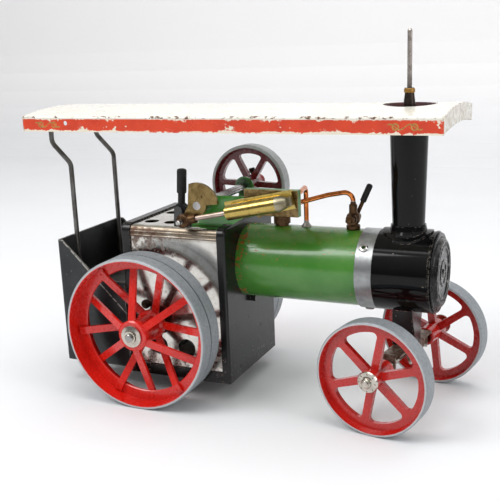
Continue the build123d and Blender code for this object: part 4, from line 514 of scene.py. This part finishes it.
def block_paint():
    """Aged brass block whose narrow sides were painted with the frame."""
    paint = Paint("port_block", 0.3, metal=1.0)
    aged = paint.ramp(paint.noise(2.2, 6, 0.65), 0.38, 0.66)
    brass = paint.mix(aged, colour(140, 118, 80), colour(92, 74, 46))
    face = paint.ramp(paint.y, low("port_block").y + 0.5, low("port_block").y + 0.2)
    green = paint.dust(colour(54, 122, 50), colour(38, 92, 38), 0.7, 4)
    paint.put("Base Color", paint.mix(face, green, brass))
    paint.put("Metallic", face)
    paint.put("Roughness", paint.span(paint.noise(2, 5), 0.2, 0.45))
    paint.bump(paint.noise(0.8, 4), 0.1, 0.08)
    return paint


def cylinder_paint():
    """Polished brass, drawn along its length, with patches of darker tarnish."""
    paint = Paint("cylinder_brass", 0.16, metal=1.0)
    skin = paint.mix(paint.ramp(paint.noise(0.9, 4, 0.6, stretch=(14, 1, 1)), 0.35, 0.7),
                     colour(186, 163, 92), colour(172, 150, 82))
    tarnish = paint.ramp(paint.noise(3.4, 5, 0.6), 0.5, 0.68)
    skin = paint.mix(paint.times(tarnish, 0.45), skin, colour(104, 86, 48))
    paint.put("Base Color", skin)
    paint.put("Roughness", paint.span(paint.noise(2.5, 5), 0.1, 0.3))
    paint.bump(paint.noise(0.4, 3, stretch=(18, 1, 1)), 0.025, 0.05)
    return paint


def copper_paint(name, joint, reach):
    """Bright drawn copper, grey with soft solder within reach of its joint."""
    paint = Paint(name, 0.18, metal=1.0)
    skin = paint.dust(colour(214, 128, 66), colour(150, 76, 38), 0.8, 5)
    dull = paint.times(paint.ramp(paint.noise(1.4, 6, 0.7), 0.52, 0.66), 0.6)
    skin = paint.mix(dull, skin, colour(86, 50, 30))
    offset = paint.node("ShaderNodeVectorMath", operation="DISTANCE")
    paint.tree.links.new(paint.place, offset.inputs[0])
    offset.inputs[1].default_value = joint
    solder = paint.ramp(paint.add(offset.outputs["Value"], paint.noise(1.5, 3)), reach + 1.0, reach)
    paint.put("Base Color", paint.mix(solder, skin, colour(158, 156, 150)))
    paint.put("Roughness", paint.span(solder, paint.span(paint.noise(2, 4), 0.12, 0.28), 0.42))
    paint.bump(paint.noise(1.0, 4), 0.1, 0.08)
    return paint


def beam_paint():
    """Stained, rusty beam with a brighter lower edge."""
    paint = Paint("axle_beam", 0.4, metal=0.6)
    stain = paint.ramp(paint.noise(2.6, 6, 0.7), 0.4, 0.62)
    skin = paint.mix(stain, colour(84, 52, 34), colour(140, 128, 116))
    spots = paint.ramp(paint.noise(1.0, 4, 0.6, offset=4.0), 0.66, 0.7)
    skin = paint.mix(spots, skin, colour(150, 84, 36))
    lower = paint.ramp(paint.z, low("front_axle_beam").z + 1.6, low("front_axle_beam").z + 0.8)
    paint.put("Base Color", paint.mix(paint.times(lower, 0.8), skin, colour(210, 206, 200)))
    paint.put("Roughness", paint.span(paint.noise(2, 5), 0.25, 0.6))
    paint.bump(paint.noise(0.9, 5, 0.7), 0.2, 0.1)
    return paint


def rod_paint():
    """Nickel above the chimney, sooty below."""
    paint = Paint("steering_rod", 0.2, metal=1.0)
    soot = paint.ramp(paint.z, high("steering_ferrule").z + 10, high("steering_ferrule").z - 2)
    clean = paint.dust(colour(206, 196, 188), colour(170, 158, 150), 0.6, 3)
    paint.put("Base Color", paint.mix(paint.times(soot, 0.8), clean, colour(70, 58, 52)))
    paint.put("Roughness", paint.span(paint.noise(1.6, 5), 0.16, 0.4))
    paint.bump(paint.noise(0.5, 4), 0.1, 0.05)
    return paint


def ferrule_paint():
    """Sooty cone under a brass ring."""
    paint = Paint("steering_ferrule", 0.35, metal=0.8)
    ring = paint.ramp(paint.away(paint.z, high("steering_ferrule").z - 1.2), 1.1, 0.9)
    cone = paint.dust(colour(72, 62, 56), colour(44, 36, 34), 0.7, 2)
    paint.put("Base Color", paint.mix(ring, cone, colour(170, 128, 66)))
    paint.put("Roughness", paint.span(paint.noise(1.6, 5), 0.25, 0.5))
    paint.bump(paint.noise(0.6, 4), 0.1, 0.06)
    return paint


def frame_paint():
    """Green enamel; the tongue and ear under the reversing lever are black."""
    paint = enamel("frame_green", (74, 142, 62), (56, 118, 48), (150, 120, 70), 0.2, 1.8)
    green = paint.bsdf.inputs["Base Color"].links[0].from_socket
    black = paint.dust(colour(16, 16, 16), colour(34, 32, 30), 0.6, 4)
    behind = paint.ramp(paint.x, BLACK_TONGUE_X, BLACK_TONGUE_X - 0.6)
    paint.put("Base Color", paint.mix(behind, green, black))
    return paint


# ---------------------------------------------------------------- materials of the pieces
# Stretch of the grain for stock drawn along x, drawn along z, and even stock.
ALONG_X, ALONG_Z, EVEN = (14, 1, 1), (1, 1, 14), (1, 1, 1)
gloss_black = enamel("gloss_black", (8, 8, 9), (18, 18, 18), (150, 140, 128), 0.08, 1.8, 0.7,
                     coat=0.0, specular=0.2)
plate_black = black_plate_paint()
steel_y = bare_metal("steel_turned", (196, 194, 192), (120, 118, 116), 0.2, (1, 0.3, 1), (110, 92, 76), 0.62)
steel_x = bare_metal("steel_rod", (196, 178, 166), (176, 158, 146), 0.34, ALONG_X, (120, 96, 80), 0.66)
nickel = bare_metal("nickel_turned", (206, 200, 190), (150, 142, 130), 0.16, (1, 0.4, 1), (120, 86, 54),
                    size=2.0)
brass_old = bare_metal("aged_brass", (150, 128, 84), (104, 84, 50), 0.32, EVEN, (70, 56, 34), 0.56, 2.0)
bronze = bare_metal("bronze_patina", (106, 80, 56), (66, 48, 36), 0.38, EVEN, (40, 30, 24), 0.54, 1.6)
tinned = bare_metal("tinned_sheet", (184, 184, 182), (140, 140, 138), 0.3, ALONG_X, (110, 80, 56), 0.62, 4.0)
solder = bare_metal("soft_solder", (166, 160, 138), (120, 108, 78), 0.35, EVEN, (120, 96, 50), 0.56, 2.0)
spring = bare_metal("spring_wire", (110, 112, 118), (70, 72, 80), 0.3, EVEN)
screws = bare_metal("blackened_screws", (62, 50, 42), (36, 30, 28), 0.4, EVEN, (110, 66, 34), 0.56, 1.5)
wire_steel = bare_metal("dark_wire", (122, 120, 118), (74, 70, 66), 0.36, ALONG_Z, (90, 70, 56), 0.64)
band = bare_metal("band_aluminium", (172, 174, 175), (128, 130, 131), 0.32, (1, 9, 9), (104, 100, 94), 0.64)
grip_black = flat_paint("black_grip", (20, 20, 21), (38, 37, 36), 0.55, 0.2, 0.6)
frame_dark = enamel("frame_dark_green", (40, 86, 36), (28, 66, 28), (130, 110, 60), 0.25, 1.6)


def rear_wheel(name, painted_shade_towards):
    return wheel_paint(name, (AXLE.x, 0, AXLE.z), (0, 1, 0), REAR_RIM, red=(212, 30, 18),
                       dark=(176, 14, 10), tyre=(152, 157, 162), groove_y=GROOVE_Y,
                       painted_shade_towards=painted_shade_towards)


def front_wheel(name):
    return wheel_paint(name, tuple(STEER), tuple(STEER_DIR), FRONT_RIM, red=(184, 26, 18),
                       dark=(150, 14, 12), tyre=(152, 157, 162))


PAINTS = {
    "firebox_shell": nickel_paint(),
    "firebox_front_plate": plate_black,
    "firebox_rear_plate": plate_black,
    "base_tray": plate_black,
    "tender_body": tender_paint(),
    "bunker_floor": tinned,
    "assembly_screws": screws,
    "burner_tray": tinned,
    "fuel_tablets": flat_paint("fuel_white", (236, 234, 226), (206, 202, 190), 0.8, 0.6, 0.5),
    "boiler_shell": boiler_paint(),
    "boiler_ends": brass_old,
    "boiler_band": band,
    "band_rivets": steel_y,
    "smokebox_shell": gloss_black,
    "smokebox_door": door_paint(),
    "chimney": chimney_paint(),
    "chimney_saddle": gloss_black,
    "canopy_roof": roof_paint(),
    "canopy_crossbar": flat_paint("crossbar_cream", (226, 220, 204), (180, 170, 150), 0.45, 0.15, 1.2),
    "canopy_posts": wire_steel,
    "rear_wheel_near": rear_wheel("rear_wheel_near", 1),
    "rear_wheel_far": rear_wheel("rear_wheel_far", -1),
    "rear_axle": steel_y,
    "rear_hub_caps": nickel,
    "rear_axle_bushes": brass_old,
    "perch_bracket": plate_black,
    "front_axle_beam": beam_paint(),
    "king_pin": steel_y,
    "front_axle_rod": nickel,
    "front_wheel_near": front_wheel("front_wheel_near"),
    "front_wheel_far": front_wheel("front_wheel_far"),
    "front_hub_caps": nickel,
    "steering_rod": rod_paint(),
    "steering_ferrule": ferrule_paint(),
    "engine_frame": frame_paint(),
    "crank_bearings": frame_dark,
    "crankshaft": steel_y,
    "crank_web": brass_old,
    "flywheel": wheel_paint("flywheel", (CRANK.x, 0, CRANK.z), (0, 1, 0), FLYWHEEL_RIM, red=(118, 20, 26),
                            dark=(84, 12, 20), tyre=(176, 178, 178), tyre_metal=0.9),
    "drive_pulley": enamel("pulley_red", (150, 36, 38), (110, 22, 26), (190, 150, 130), 0.25),
    "pulley_set_screw": screws,
    "port_block": block_paint(),
    "cylinder_barrel": cylinder_paint(),
    "cylinder_end_plug": solder,
    "trunnion_pin": steel_y,
    "trunnion_spring": spring,
    "piston_rod": steel_x,
    "big_end": bronze,
    "crank_pin": steel_y,
    "reversing_lever": grip_black,
    "reversing_grip": grip_black,
    "reversing_link": steel_x,
    "reversing_valve": brass_old,
    "safety_valve_body": bronze,
    "safety_valve_plunger": brass_old,
    "regulator_body": bronze,
    "regulator_plug": bronze,
    "regulator_grip": grip_black,
    "steam_pipe": copper_paint(
        "steam_copper", (high("steam_pipe").x - 1.2, 0, low("steam_pipe").z), reach=3.0),
    "exhaust_pipe": copper_paint(
        "exhaust_copper", (low("exhaust_pipe").x + 2.5, 0, low("exhaust_pipe").z), reach=3.2),
}

for node, paint in PAINTS.items():
    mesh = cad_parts[node].data
    mesh.materials.clear()
    mesh.materials.append(paint.material)

# ---------------------------------------------------------------- floor and wall
FLOOR_HALF = 2.4
WALL_Y = 0.85
WALL_HIGH = 1.6
CORNER_R = 0.16
CORNER_STEPS = 8


def studio():
    """Pale floor that turns up into a wall behind the model."""
    profile = [(-FLOOR_HALF, 0.0)]
    for step in range(CORNER_STEPS + 1):
        angle = math.pi / 2 * step / CORNER_STEPS
        profile.append((WALL_Y - CORNER_R + CORNER_R * math.sin(angle),
                        CORNER_R - CORNER_R * math.cos(angle)))
    profile.append((WALL_Y, WALL_HIGH))
    verts = [(side * FLOOR_HALF, y, z) for side in (-1, 1) for y, z in profile]
    count = len(profile)
    faces = [(i, i + 1, count + i + 1, count + i) for i in range(count - 1)]
    mesh = bpy.data.meshes.new("studio")
    mesh.from_pydata(verts, [], faces)
    mesh.update()
    shown = bpy.data.objects.new("studio", mesh)
    bpy.context.collection.objects.link(shown)
    paint = Paint("studio_white", 0.75, specular=0.2)
    floor = paint.dust(colour(224, 225, 227), colour(220, 221, 223), 0.5, 120)
    # The wall is painted lighter than the floor: painted light that makes up for the lamps' falloff towards
    # the wall.
    paint.put("Base Color", paint.mix(paint.ramp(paint.z, 2.0, 150.0), floor, colour(246, 245, 245)))
    paint.bump(paint.noise(1.5, 4), 0.03, 0.05)
    mesh.materials.append(paint.material)


studio()


# ---------------------------------------------------------------- light
def area_light(name, place, lit_point, size, power):
    lamp = bpy.data.lights.new(name, "AREA")
    lamp.shape = "RECTANGLE"
    lamp.size, lamp.size_y = size
    lamp.energy = power
    shown = bpy.data.objects.new(name, lamp)
    bpy.context.collection.objects.link(shown)
    shown.location = place
    shown.rotation_euler = (Vector(lit_point) - Vector(place)).to_track_quat("-Z", "Y").to_euler()


LIT_POINT = (0, 0, 0.07)
area_light("key", (-0.55, -0.65, 0.95), LIT_POINT, (0.6, 0.5), 7.0)
area_light("top", (0.1, 0.0, 1.2), LIT_POINT, (1.1, 0.8), 7.2)
area_light("side", (1.0, -0.25, 0.55), LIT_POINT, (0.4, 0.6), 3.0)

# Soft room light: bright overhead, darker towards the horizon.
world = bpy.data.worlds.new("studio_air")
bpy.context.scene.world = world
world.use_nodes = True
tree = world.node_tree
background = next(n for n in tree.nodes if n.type == "BACKGROUND")
sky = tree.nodes.new("ShaderNodeTexCoord")
height = tree.nodes.new("ShaderNodeSeparateXYZ")
fade = tree.nodes.new("ShaderNodeMapRange")
tree.links.new(sky.outputs["Generated"], height.inputs[0])
tree.links.new(height.outputs["Z"], fade.inputs["Value"])
for socket, value in (("From Min", 0.1), ("From Max", 0.9), ("To Min", 0.16), ("To Max", 0.8)):
    fade.inputs[socket].default_value = value
tree.links.new(fade.outputs["Result"], background.inputs["Strength"])
background.inputs["Color"].default_value = (1.0, 1.0, 1.0, 1.0)
bpy.context.scene.view_settings.view_transform = "Standard"

# ---------------------------------------------------------------- camera
AZIMUTH, ELEVATION, ROLL = (math.radians(a) for a in (24.48, 14.01, -2.25))
# The camera aims at a point this far ahead of the rear axle and above the ground.
AIM_AHEAD = 0.04048
AIM_HEIGHT = 0.07083
DISTANCE = 0.429
LENS = 61.24
SENSOR = 36.0
target = Vector((AIM_AHEAD + AXLE.x / MM, 0.0, AIM_HEIGHT))
back = Vector((
    math.sin(AZIMUTH) * math.cos(ELEVATION),
    -math.cos(AZIMUTH) * math.cos(ELEVATION),
    math.sin(ELEVATION),
))
right = Vector((math.cos(AZIMUTH), math.sin(AZIMUTH), 0.0))
up = back.cross(right)
turned_right = math.cos(ROLL) * right + math.sin(ROLL) * up
turned_up = -math.sin(ROLL) * right + math.cos(ROLL) * up
lens = bpy.data.cameras.new("camera")
lens.lens = LENS
lens.sensor_width = SENSOR
lens.clip_start = 0.01
camera = bpy.data.objects.new("camera", lens)
bpy.context.collection.objects.link(camera)
camera.matrix_world = Matrix.Translation(target + back * DISTANCE) @ Matrix(
    (turned_right, turned_up, back)).transposed().to_4x4()
bpy.context.scene.camera = camera
